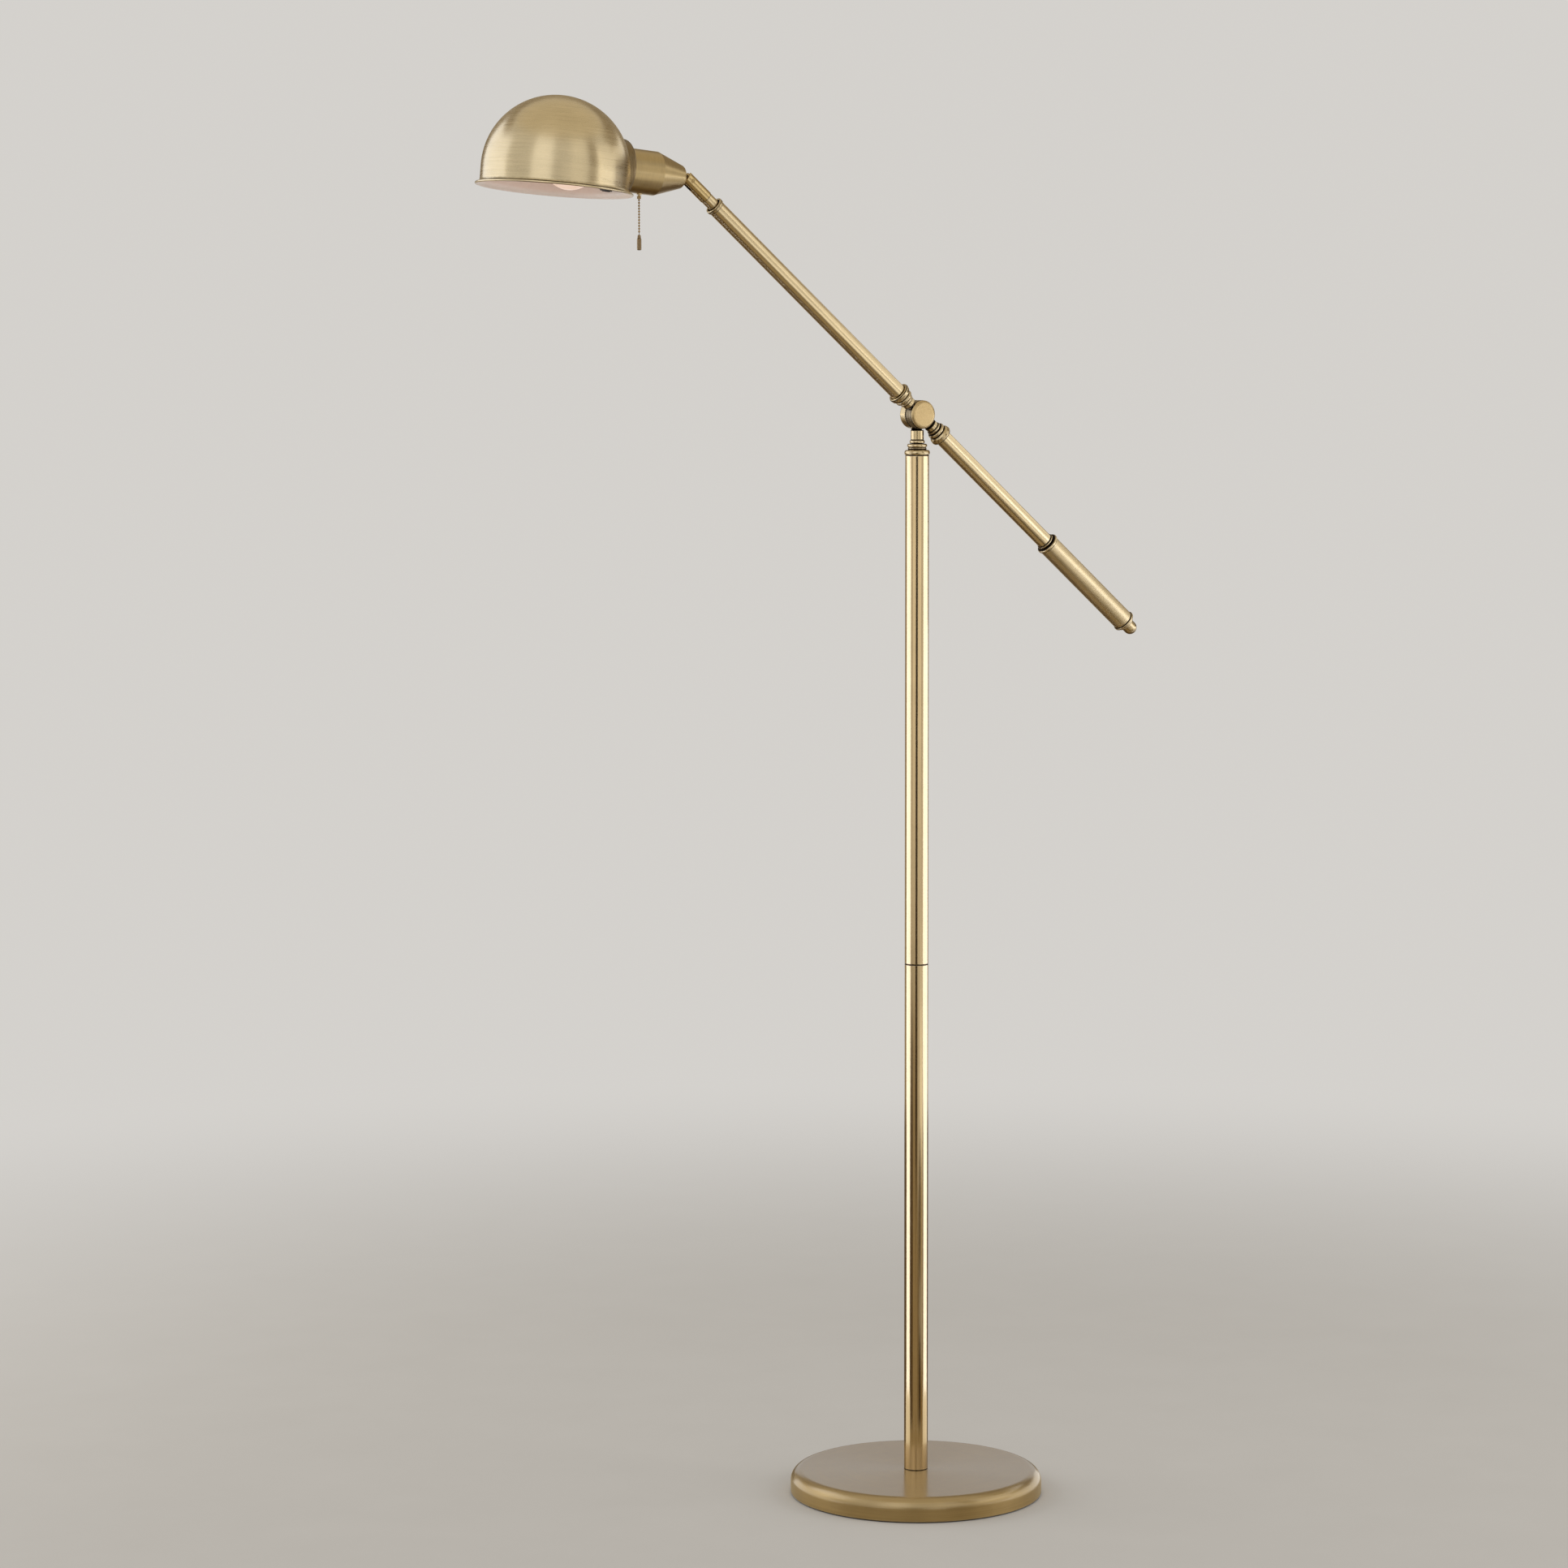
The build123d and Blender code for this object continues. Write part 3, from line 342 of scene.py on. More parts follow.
patina_and_shade_mix = node(ageing_and_shade, "ShaderNodeMix", {
    "Factor": ageing_grime_and_shade, 6: ageing_lit.outputs[0], 7: ageing_in.outputs["Patina and shade"]}, data_type="RGBA")
ageing_and_shade.links.new(patina_and_shade_mix.outputs[2], ageing_out.inputs["Colour"])
ageing_and_shade.links.new(ageing_grime_and_shade, ageing_out.inputs["Grime and shade"])


def brass(name, metal, rubbed, smooth, rough, around, across, relief, anisotropy=0.0, lacquer=0.0,
          ripple=0.0):
    """Aged brass: its colour, its rubbed edges, the span of its roughness, its turning or brushing marks,
    its lacquer, and the depth of the ripple that drawing leaves in a tube."""
    material, tree, shader = finish(name, Metallic=1.0, Anisotropic=anisotropy, Anisotropic_Rotation=0.25,
                                    Coat_Weight=lacquer, Coat_Roughness=0.18)
    marks = node(tree, "ShaderNodeGroup", {"Around": around, "Across": across}, node_tree=turning_marks)
    aged_and_shaded = node(tree, "ShaderNodeGroup", {
        "Metal": (*metal, 1), "Patina and shade": (0.020, 0.012, 0.006, 1), "Rubbed": (*rubbed, 1),
        "Marks": marks.outputs["Marks"]}, node_tree=ageing_and_shade)
    tree.links.new(aged_and_shaded.outputs["Colour"], shader.inputs["Base Color"])
    streaks = between(tree, marks.outputs["Marks"], smooth, rough)
    dulled = reckon(tree, "MULTIPLY_ADD", aged_and_shaded.outputs["Grime and shade"], 0.3, streaks)
    tree.links.new(dulled, shader.inputs["Roughness"])
    scored = raised(tree, shader, marks.outputs["Marks"], relief, 0.00006)
    if ripple:
        raised(tree, shader, grain(tree, 32, 1.0, 0.4), 1.0, ripple, scored)
    if anisotropy:
        tangent = node(tree, "ShaderNodeTangent", direction_type="UV_MAP", uv_map="turning")
        tree.links.new(tangent.outputs[0], shader.inputs["Tangent"])
    return material


base_radius, base_top, base_edge, sheet, cover_foot, nipple_hole = 127.0, 24.0, 18.0, 1.2, 1.0, 5.2
upright = Matrix.Identity(4)
cover_brass = brass("brushed_cover_brass", (0.41, 0.295, 0.130), (0.54, 0.41, 0.20), 0.33, 0.46,
                    1.6, 900, 0.25, 0.55, lacquer=1.0)
base_cover = turned("base_cover_spun", rounded(
    [(nipple_hole, base_top), (base_radius, base_top, base_edge), (base_radius, cover_foot, 0.4),
     (base_radius - sheet, cover_foot, 0.4), (base_radius - sheet, base_top - sheet, base_edge - sheet),
     (nipple_hole, base_top - sheet)], steps=20),
    upright, cover_brass, segments=224, dark=((cover_foot, 0.25),))
fit(base_cover, "stand", "brushed_brass", "base_cover")

# Pole: two lengths of drawn brass tube, polished and lacquered, butted on an inner coupler whose
# narrow ring shows as a dark joint line. The plug in its foot takes the base's nipple.
pole_radius, pole_wall, pole_joint, joint_ring, pole_top = 12.0, 1.2, 540.0, 0.6, 1049.5
pole_brass = brass("polished_pole_brass", (0.60, 0.445, 0.23), (0.74, 0.59, 0.36), 0.11, 0.18,
                   24, 14, 0.04, lacquer=1.0, ripple=0.00008)


def tube_outline(radius, wall, start, end, edge=0.35):
    """Outline of a plain tube whose outer edges are eased."""
    bore = radius - wall
    return rounded([(radius, start, edge), (radius, end, edge), (bore, end), (bore, start)], 3)


pole_lower = turned("pole_lower_polished", tube_outline(pole_radius, pole_wall, base_top, pole_joint),
                    upright, pole_brass, dark=((base_top, 0.9), (pole_joint, 0.5)))
fit(pole_lower, "stand", "polished_brass", "pole_lower_tube")
pole_upper = turned("pole_upper_polished",
                    tube_outline(pole_radius, pole_wall, pole_joint + joint_ring, pole_top),
                    upright, pole_brass, dark=((pole_joint + joint_ring, 0.5), (pole_top, 0.5)))
fit(pole_upper, "stand", "polished_brass", "pole_upper_tube")
dark_brass = mottled("darkened_brass", (300, 3, 0.6), (0.050, 0.032, 0.015), (0.130, 0.085, 0.040),
                     (0.28, 0.50), (0.1, 0.00005), Metallic=1.0)
dress(dark_brass, "pole_coupler", "pole_foot_plug")

# Pole collar: turned from brass bar, a full bead, a deep waist and a smaller bead, pressed into
# the top of the pole. The aged dip is left black in its grooves and rubbed off its crowns.


def swell(radius, bulge, start, end, steps=10):
    """A rounded bead on an outline: from its foot, over its crown, to its other foot."""
    middle, half = (start + end) / 2, (end - start) / 2
    turns = [math.pi * k / steps for k in range(steps + 1)]
    return [(radius - bulge + bulge * math.sin(turn), middle - half * math.cos(turn)) for turn in turns]


turned_brass = brass("turned_fitting_brass", (0.54, 0.42, 0.235), (0.72, 0.59, 0.38), 0.14, 0.28,
                     2.0, 700, 0.10)
collar_bore, collar_plug, collar_foot, collar_top = 5.05, 10.7, 1033.5, 1061.0
pole_collar = turned("pole_collar_turned",
                     [(collar_bore, collar_foot), (collar_plug, collar_foot), (collar_plug, pole_top)]
                     + swell(12.8, 1.9, pole_top, 1054.8) + [(9.2, 1055.1), (9.2, 1057.1)]
                     + swell(10.0, 1.5, 1057.4, collar_top) + [(collar_bore, collar_top)],
                     upright, turned_brass, dark=((pole_top, 0.4), (1056.1, 1.0), (collar_top, 0.4)))
fit(pole_collar, "stand", "polished_brass", "pole_collar")

# Neck stem: a turned neck with one thin ring; its hollow spindle runs down through the collar and
# is held by a nut inside the pole, so that the whole arm turns left and right.
neck_bottom, neck_ring_top, neck_socket, neck_top = 1061.3, 1064.5, 1066.2, 1074.5
spindle_bore, spindle_radius, socket_radius, neck_radius = 3.0, 5.0, 4.5, 6.5
spindle_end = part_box("neck_stem")[0].z * 1000
neck = turned("neck_stem_turned",
              [(spindle_bore, spindle_end), (spindle_radius, spindle_end), (spindle_radius, neck_bottom)]
              + swell(7.6, 0.9, neck_bottom, neck_ring_top)
              + rounded([(neck_radius, neck_ring_top + 0.1), (neck_radius, neck_top, 0.4),
                         (socket_radius, neck_top), (socket_radius, neck_socket),
                         (spindle_bore, neck_socket)]),
              upright, turned_brass, dark=((neck_bottom, 0.5), (neck_ring_top + 0.3, 0.6), (neck_top, 0.7)))
fit(neck, "stem", "polished_brass", "neck_stem")

# Rear half of the knuckle: a turned disc on a short lug that screws into the neck. Its front rim
# is serrated where it bites on the friction washer, and the bite is packed with old polish.
pivot = Vector((0.0, 0.0, 1090.0))
knuckle_radius, half_gap, rear_back, bolt_hole, bolt_seat = 14.2, 0.4, 10.8, 4.1, 8.7
rear_axis = on_axis(pivot, (0, 1, 0))
tooth_count, tooth_depth, tooth_length = 44, 0.9, 1.1


def fused(piece, *others, way="UNION"):
    """Welds other pieces into the first one as one closed skin, or cuts them out of it."""
    for other in others:
        weld = piece.modifiers.new("weld", "BOOLEAN")
        weld.operation, weld.solver, weld.object = way, "EXACT", other
    graph = bpy.context.evaluated_depsgraph_get()
    mesh = bpy.data.meshes.new_from_object(piece.evaluated_get(graph))
    piece.modifiers.clear()
    piece.data = mesh
    for other in others:
        bpy.data.objects.remove(other)


knuckle_rear = turned("knuckle_rear_turned", rounded(
    [(bolt_hole, half_gap), (knuckle_radius, half_gap), (knuckle_radius, half_gap + tooth_length),
     (knuckle_radius, rear_back, 2.0), (0, rear_back), (0, bolt_seat), (bolt_hole, bolt_seat)]),
    rear_axis, turned_brass, segments=tooth_count * 4, dark=((half_gap, 0.8),))
for vert in knuckle_rear.data.vertices:
    place = vert.co * 1000 - pivot
    reach = math.hypot(place.x, place.z)
    if reach > knuckle_radius - 0.1 and place.y < half_gap + 0.5:
        share = (math.atan2(place.z, place.x) / math.tau * tooth_count) % 1.0
        if 0.3 < share < 0.8:
            vert.co = (pivot + Vector((place.x, 0, place.z)) * (1 - tooth_depth / reach)
                       + Vector((0, place.y, 0))) / 1000
lug_radius, lug_top = 6.0, 1088.0
lug = turned("knuckle_lug", [(0, neck_top), (lug_radius, neck_top), (lug_radius, lug_top), (0, lug_top)],
             upright, turned_brass)
lug_mesh = bmesh.new()
lug_mesh.from_mesh(lug.data)
bmesh.ops.bisect_plane(lug_mesh, geom=lug_mesh.verts[:] + lug_mesh.edges[:] + lug_mesh.faces[:],
                       plane_co=(0, half_gap / 1000 + 0.00002, 0), plane_no=(0, -1, 0), clear_outer=True)
bmesh.ops.holes_fill(lug_mesh, edges=[e for e in lug_mesh.edges if e.is_boundary])
bmesh.ops.recalc_face_normals(lug_mesh, faces=lug_mesh.faces)
lug_mesh.to_mesh(lug.data)
lug_mesh.free()
fused(knuckle_rear, lug)
fit(knuckle_rear, "stem", "polished_brass", "knuckle_rear")

# Friction washer between the two halves: a punched ring of dark fibre that lets the arm be set
# at any tilt and stay there.
fibre = mottled("oiled_fibre", (1400, 4, 0.7), (0.010, 0.008, 0.007), (0.040, 0.030, 0.024), (0.55, 0.85),
                (0.5, 0.0001), Specular_IOR_Level=0.3)
dress(fibre, "friction_washer")

# Front half of the knuckle: a hub with two studs that the arm's collars screw on, turned with
# four fine grooves, and over it the round cap that hides the pivot bolt, satin on its face.
front_axis = on_axis(pivot, (0, -1, 0))
hub_bore, hub_recess, recess_floor, hub_face, cap_face, cap_radius = 4.2, 9.0, 4.5, 9.0, 12.4, 14.0
arm_line = Vector((-0.76323, 0.0, 0.64612))
arm_root = pivot + Vector((0, -4.7, 0))
upper_axis, lower_axis = on_axis(arm_root, arm_line), on_axis(arm_root, -arm_line)
hub_grooves, groove_half, groove_depth = (2.2, 3.6, 5.0, 6.4), 0.45, 0.5
hub_side = [(knuckle_radius, half_gap, 0.3)]
for groove in hub_grooves:
    hub_side += [(knuckle_radius, groove - groove_half), (knuckle_radius - groove_depth, groove),
                 (knuckle_radius, groove + groove_half)]
# The hub's brass is painted darker than the other fittings, as painted shade under the cap and collars.
shaded_hub_brass = brass("hub_brass_painted_shade", (0.30, 0.235, 0.15), (0.48, 0.39, 0.25), 0.24, 0.38, 2.0, 700, 0.12)
hub = turned("knuckle_front_turned", rounded(
    [(hub_bore, half_gap)] + hub_side
    + [(knuckle_radius, hub_face, 0.4), (hub_recess, hub_face), (hub_recess, recess_floor),
       (hub_bore, recess_floor)], 4),
    front_axis, shaded_hub_brass, 112,
    dark=((half_gap, 0.6), (hub_face, 0.4)) + tuple((groove, 0.3) for groove in hub_grooves))
stud_radius, stud_root, stud_end = 4.2, 9.5, 25.0
stud_outline = [(0, stud_root), (stud_radius, stud_root), (stud_radius, stud_end), (0, stud_end)]
fused(hub, turned("stud_a", stud_outline, upper_axis, shaded_hub_brass, 40, dark=((15.0, 1.2),)),
      turned("stud_b", stud_outline, lower_axis, shaded_hub_brass, 40, dark=((15.0, 1.2),)))
fit(hub, "arm", "polished_brass", "knuckle_front")
cap_brass = brass("satin_cap_brass", (0.49, 0.355, 0.17), (0.64, 0.50, 0.29), 0.30, 0.44,
                  1.2, 1100, 0.25, 0.3)
pivot_cap = turned("pivot_cap_turned", rounded(
    [(0, cap_face), (cap_radius - 2.0, cap_face - 0.1, 6.0), (cap_radius, cap_face - 1.7, 0.9),
     (cap_radius, hub_face + 0.6, 0.3), (cap_radius - 0.8, hub_face + 0.6), (cap_radius - 0.8, hub_face),
     (8.9, hub_face), (8.9, hub_face - 0.6), (0, hub_face - 0.6)]), front_axis, cap_brass, 112,
    dark=((hub_face + 0.2, 0.4),))
fit(pivot_cap, "arm", "polished_brass", "pivot_cap")

# Arm collars: one turned collar each side of the knuckle, with a neck, two rings of growing size
# and a barrel that the arm tube is pressed into. Black stays in the grooves between them.


def arm_collar(name, axis, replaced):
    """A ringed collar from the knuckle outwards, with the plug that enters its tube."""
    root, stud_hole, stud_floor, plug, plug_start, plug_end = 15.4, 4.3, 25.4, 6.9, 33.6, 48.4
    outline = ([(stud_hole, root), (6.2, root), (6.5, 15.8), (6.5, 20.3)] + swell(7.5, 0.9, 20.4, 23.1)
               + [(6.7, 23.3), (6.7, 23.6)] + swell(9.3, 1.1, 23.8, 27.2) + [(7.4, 27.4), (7.4, 27.7)]
               + rounded([(7.4, 27.7), (9.0, 27.9, 0.3), (10.7, 29.6, 3.0), (11.35, 33.0, 2.0),
                          (10.6, 34.4, 0.5), (8.9, 34.4), (8.5, 33.7)])[1:-1]
               + [(8.4, plug_start), (plug, plug_start), (plug, plug_end), (0, plug_end), (0, stud_floor),
                  (stud_hole, stud_floor)])
    collar = turned(name, outline, axis, turned_brass, 80,
                    dark=((15.6, 0.9), (20.35, 0.5), (23.45, 0.5), (27.55, 0.6), (33.7, 0.5)))
    fit(collar, "arm", "polished_brass", replaced)


arm_collar("upper_arm_collar_turned", upper_axis, "upper_arm_collar")
arm_collar("lower_arm_collar_turned", lower_axis, "lower_arm_collar")

# Arm tubes: drawn brass tube, brushed lightly along its length, so its highlights are softer
# than the pole's.
arm_radius, arm_wall, arm_start, upper_end, lower_end = 8.2, 1.2, 34.4, 309.4, 199.5
# Its brass is painted lighter than the pole's, as painted light; the swivel base shares it.
lit_arm_brass = brass("arm_brass_painted_light", (0.72, 0.580, 0.350), (0.80, 0.67, 0.45), 0.17, 0.27,
                  20, 25, 0.04, ripple=0.00004)
upper_arm = turned("upper_arm_drawn", tube_outline(arm_radius, arm_wall, arm_start, upper_end), upper_axis,
                   lit_arm_brass, dark=((arm_start, 0.8), (upper_end, 0.4)))
fit(upper_arm, "arm", "polished_brass", "upper_arm_tube")
lower_arm = turned("lower_arm_drawn", tube_outline(arm_radius, arm_wall, arm_start, lower_end), lower_axis,
                   lit_arm_brass, dark=((arm_start, 0.8), (lower_end, 0.9)))
fit(lower_arm, "arm", "polished_brass", "lower_arm_tube")

# Arm end: a turned ferrule with a rolled lip closes the tube, and the swivel base stands in its
# mouth. The gap round the base is painted black, as painted shade.
spigot, mouth, ferrule_end, swivel_end = 299.4, 311.9, 313.4, 324.4
ferrule = turned("arm_end_ferrule_turned",
                 [(4.6, spigot), (6.9, spigot), (6.9, upper_end)]
                 + rounded([(6.9, upper_end), (8.5, upper_end), (9.1, 310.1, 0.5), (9.1, ferrule_end, 0.7),
                            (7.5, ferrule_end, 0.3), (7.5, mouth), (4.6, mouth)], 6)[1:],
                 upper_axis, turned_brass, 64, dark=((upper_end, 0.35), (312.0, 1.0)))
fit(ferrule, "arm", "polished_brass", "arm_end_ferrule")
swivel_base = turned("swivel_base_turned",
                     [(3.1, spigot), (4.5, spigot), (4.5, mouth), (6.0, mouth)]
                     + rounded([(6.0, mouth), (6.0, swivel_end, 0.4), (3.1, swivel_end)], 4)[1:],
                     upper_axis, lit_arm_brass, 64, dark=((312.4, 1.0), (swivel_end, 0.4)))
fit(swivel_base, "arm", "polished_brass", "swivel_base")

# Counterweight: a brass sleeve over a steel slug, between a ringed collar on the arm tube and a
# beaded end cap with a ball finial. The groove under the top ring is the blackest on the lamp.
weight_radius, weight_plug, sleeve_wall, sleeve_start, sleeve_end = 10.8, 9.7, 1.0, 205.7, 328.9
weight_brass = brass("satin_weight_brass", (0.63, 0.505, 0.30), (0.76, 0.63, 0.42), 0.30, 0.42, 22, 30, 0.05)
weight_collar = turned("counterweight_collar_turned",
                       [(0, 185.5), (6.9, 185.5), (6.9, lower_end)] + swell(9.3, 0.9, lower_end, 201.7)
                       + [(7.8, 201.8), (7.8, 202.2)]
                       + rounded([(7.8, 202.2), (10.6, 202.4, 0.4), (11.8, 203.6, 0.9), (11.8, 205.0, 0.5),
                                  (11.2, sleeve_start), (weight_plug, sleeve_start)], 6)[1:]
                       + [(weight_plug, 215.7), (0, 215.7)],
                       lower_axis, turned_brass, 80,
                       dark=((lower_end, 0.4), (202.2, 1.0), (sleeve_start, 0.3)))
fit(weight_collar, "arm", "polished_brass", "counterweight_collar")
sleeve = turned("counterweight_sleeve_drawn",
                tube_outline(weight_radius, sleeve_wall, sleeve_start, sleeve_end),
                lower_axis, weight_brass, 80, dark=((sleeve_start, 0.5), (sleeve_end, 0.7)))
fit(sleeve, "arm", "polished_brass", "counterweight_sleeve")
finial_radius, finial_stud, finial_root, finial_shoulder = 6.98, 326.1, 334.1, 341.1
end_cap = turned("counterweight_end_cap_turned",
                 [(0, 318.9), (weight_plug, 318.9), (weight_plug, sleeve_end)]
                 + swell(11.8, 1.2, sleeve_end, 331.9) + [(9.3, 332.0)] + swell(9.6, 0.8, 332.1, finial_root)
                 + [(3.1, finial_root), (3.1, 325.8), (0, 325.8)],
                 lower_axis, turned_brass, 80, dark=((sleeve_end, 0.5), (332.0, 0.3), (finial_root, 0.4)))
fit(end_cap, "arm", "polished_brass", "counterweight_end_cap")


def ball(radius, centre, turns):
    """Points of a ball's outline about a centre on the axis; turns are in radians from its girth."""
    return [(radius * math.cos(turn), centre + radius * math.sin(turn)) for turn in turns]


finial = turned("counterweight_finial_turned",
                [(0, finial_stud), (3.0, finial_stud), (3.0, finial_root), (6.3, finial_root),
                 (finial_radius, 334.9)]
                + ball(finial_radius, finial_shoulder, [math.pi * k / 32 for k in range(16)])
                + [(0, finial_shoulder + finial_radius)],
                lower_axis, turned_brass, 64, dark=((finial_root, 0.6),))
fit(finial, "arm", "polished_brass", "counterweight_finial")

# Swivel fork and hinge tongue: the slotted rod that turns on the arm's end, and the flat tongue
# of the socket that tilts in it on a cross pin. Both are milled from bar; the tongue is left dark.
milled_brass, milled_tree, milled_shader = finish("milled_brass", Metallic=1.0)
milled_cloud = grain(milled_tree, 160, 3, 0.6)
milled_lines = grain(milled_tree, 900, 3, 0.6, (1, 0.2, 1))
milled_tree.links.new(tones(milled_tree, milled_cloud, (0.56, 0.415, 0.195), (0.68, 0.515, 0.26)),
                      milled_shader.inputs["Base Color"])
milled_tree.links.new(between(milled_tree, milled_lines, 0.12, 0.26), milled_shader.inputs["Roughness"])
raised(milled_tree, milled_shader, milled_lines, 0.08, 0.00004)
dress(milled_brass, "swivel_fork", "hinge_pin")
dress(dark_brass, "hinge_tongue")

# Socket cup: spun brass, a cylinder that closes in a cone to a rounded nose, brushed round on
# the lathe. It hides the lampholder and takes the tongue's stud through its nose.
socket_line = Vector((-0.99540, 0.0, 0.09585))
head_up = Vector((0.09585, 0.0, 0.99540))
hinge = Vector((-265.605, -4.7, 1314.85))
socket_axis = on_axis(hinge + head_up * 2.7, socket_line)
cup_radius, cup_crease, seat_face, nose_face = 20.95, 40.0, 75.2, 9.0
cup_sheet, tongue_hole = 1.2, 4.1
# Its brass is painted darker than the shade's, as painted shade.
shaded_cup_brass = brass("brushed_cup_brass_painted_shade", (0.45, 0.335, 0.165), (0.60, 0.47, 0.27), 0.24, 0.38,
                  1.8, 1000, 0.3, 0.6)
cup = turned("socket_cup_spun", rounded(
    [(tongue_hole, nose_face), (10.45, nose_face, 4.2), (cup_radius, cup_crease, 0.8),
     (cup_radius, seat_face, 0.3), (cup_radius - cup_sheet, seat_face),
     (cup_radius - cup_sheet, cup_crease + 0.2), (9.9, nose_face + cup_sheet, 3.0),
     (tongue_hole, nose_face + cup_sheet)], 10), socket_axis, shaded_cup_brass, 128, dark=((seat_face, 0.5),))
fit(cup, "head", "brushed_brass", "socket_cup")

# Shade: sheet brass spun into a dome with a short skirt, a flared lip and a rolled edge. Outside
# it is brushed round the dome's axis and aged, with a painted dark reflection along the flare above the
# rolled edge; inside it is sprayed with white enamel.
dome_radius, dome_sheet, skirt, flare, flare_turn = 70.49, 0.8, 12.9, 4.0, 66.0
dome_centre = Vector((-412.542, -4.7, 1322.17))
dome_axis = on_axis(dome_centre, head_up)
shade_brass = brass("brushed_shade_brass", (0.61, 0.495, 0.30), (0.70, 0.58, 0.38), 0.22, 0.34,
                    1.4, 620, 0.18, 0.6, lacquer=0.3)
# The enamel is painted warm, as painted light from the bulb.
enamel_painted_warm = mottled("white_enamel_painted_warm", (320, 2, 0.5), (0.82, 0.70, 0.63), (0.90, 0.785, 0.71), (0.32, 0.44),
                 (0.12, 0.0003), Coat_Weight=0.25, Coat_Roughness=0.3)


def dome(radius, angles):
    """Points of the dome's outline; angles are in degrees from its crown."""
    turns = [math.radians(angle) for angle in angles]
    return [(radius * math.sin(turn), radius * math.cos(turn)) for turn in turns]


def lip(distance, turn):
    """A point of the flared lip, at a distance from the flare's own centre."""
    return (dome_radius + flare - distance * math.cos(math.radians(turn)),
            -skirt - distance * math.sin(math.radians(turn)))


roll_angle, roll_radius = 80.0, 1.07
roll_turn = math.radians(roll_angle)
roll = Vector(lip(flare + dome_sheet / 2, roll_angle))
roll_out = Vector((math.sin(roll_turn), -math.cos(roll_turn)))
roll_up = Vector((math.cos(roll_turn), math.sin(roll_turn)))
dome_angles = [k * 1.875 for k in range(49)]
outside = dome(dome_radius, dome_angles) + [lip(flare, flare_turn * k / 10) for k in range(11)]
roll_angles = [math.radians(angle) for angle in range(156, -157, -12)]
rolled_edge = [roll + roll_radius * (roll_out * math.cos(angle) + roll_up * math.sin(angle))
               for angle in roll_angles]
inside = [lip(flare + dome_sheet, flare_turn * k / 8) for k in range(8, -1, -1)]
inside += dome(dome_radius - dome_sheet, [90 - angle for angle in dome_angles])
# The dark line at the flare is a painted dark reflection.
shade = turned("shade_spun", outside + rolled_edge + inside, dome_axis, shade_brass, 224,
               lining=(len(outside) + len(rolled_edge) - 6, enamel_painted_warm), dark=((-15.9, 0.55),))
hole_radius, hole_start, hole_end = 17.0, 70.0, 100.0
hole = turned("shade_hole",
              [(0, hole_start), (hole_radius, hole_start), (hole_radius, hole_end), (0, hole_end)],
              socket_axis, shade_brass, 64)
fused(shade, hole, way="DIFFERENCE")
fit(shade, "head", "brushed_brass", "shade")

# Saddle between cup and shade: a turned flange hollowed to the dome's curve, drawn tight by the
# ring nut inside the shade. Its brass is painted dark, as painted shade between the cup and the shade.
shaded_saddle_brass = mottled("saddle_brass_painted_shade", (700, 4, 0.65), (0.13, 0.090, 0.045), (0.30, 0.22, 0.115),
                       (0.22, 0.38), (0.15, 0.00005), (1, 0.15, 0.15), Metallic=1.0)
dress(shaded_saddle_brass, "shade_seat")

# Ring nut inside the shade: moulded black plastic with ribs round its rim for the fingers, screwed
# on the lampholder's barrel.


def grown(name, tree, values):
    """A plain mesh made by a Geometry Nodes tree; its named inputs are set by their identifiers."""
    piece = placed(name, bpy.data.meshes.new(name))
    modifier = piece.modifiers.new(name, "NODES")
    modifier.node_group = tree
    for item in tree.interface.items_tree:
        if item.in_out == "INPUT":
            modifier[item.identifier] = values[item.name]
    graph = bpy.context.evaluated_depsgraph_get()
    mesh = bpy.data.meshes.new_from_object(piece.evaluated_get(graph))
    piece.modifiers.remove(modifier)
    piece.data = mesh
    return piece


def joined(piece, material, *others):
    """Puts several meshes of one finish into the first piece."""
    bm = bmesh.new()
    for part in (piece, *others):
        bm.from_mesh(part.data)
    for face in bm.faces:
        face.material_index = 0
    bm.to_mesh(piece.data)
    bm.free()
    piece.data.materials.clear()
    piece.data.materials.append(material)
    for other in others:
        bpy.data.objects.remove(other)


ribs, ribs_in, ribs_out = node_group(
    "finger_ribs", "GeometryNodeTree",
    {"Count": "Int", "Circle": "Float", "Rib radius": "Float", "Rib length": "Float", "Finish": "Material"},
    {"Ribs": "Geometry"})
ribs_circle = node(ribs, "GeometryNodeMeshCircle",
                   {"Vertices": ribs_in.outputs["Count"], "Radius": ribs_in.outputs["Circle"]})
ribs_rod = node(ribs, "GeometryNodeMeshCylinder", {
    "Vertices": 10, "Radius": ribs_in.outputs["Rib radius"], "Depth": ribs_in.outputs["Rib length"]})
ribs_set = node(ribs, "GeometryNodeInstanceOnPoints",
                {"Points": ribs_circle.outputs[0], "Instance": ribs_rod.outputs[0]})
ribs_real = node(ribs, "GeometryNodeRealizeInstances", {0: ribs_set.outputs[0]})
ribs_painted = node(ribs, "GeometryNodeSetMaterial",
                    {"Geometry": ribs_real.outputs[0], "Material": ribs_in.outputs["Finish"]})
ribs.links.new(ribs_painted.outputs[0], ribs_out.inputs[0])
nut_start, nut_end, nut_radius, nut_bore, rib_radius = 86.5, 93.5, 23.0, 16.55, 0.9
nut_ribs = grown("nut_ribs", ribs, {
    "Count": 36, "Circle": (nut_radius - rib_radius) / 1000, "Rib radius": rib_radius / 1000,
    "Rib length": (nut_end - nut_start - 1.2) / 1000, "Finish": plastic})
rib_place = socket_axis.copy()
rib_place.translation = (socket_axis @ Vector((0, 0, (nut_start + nut_end) / 2))) / 1000
nut_ribs.data.transform(rib_place)
nut_body = nut_radius - 0.6
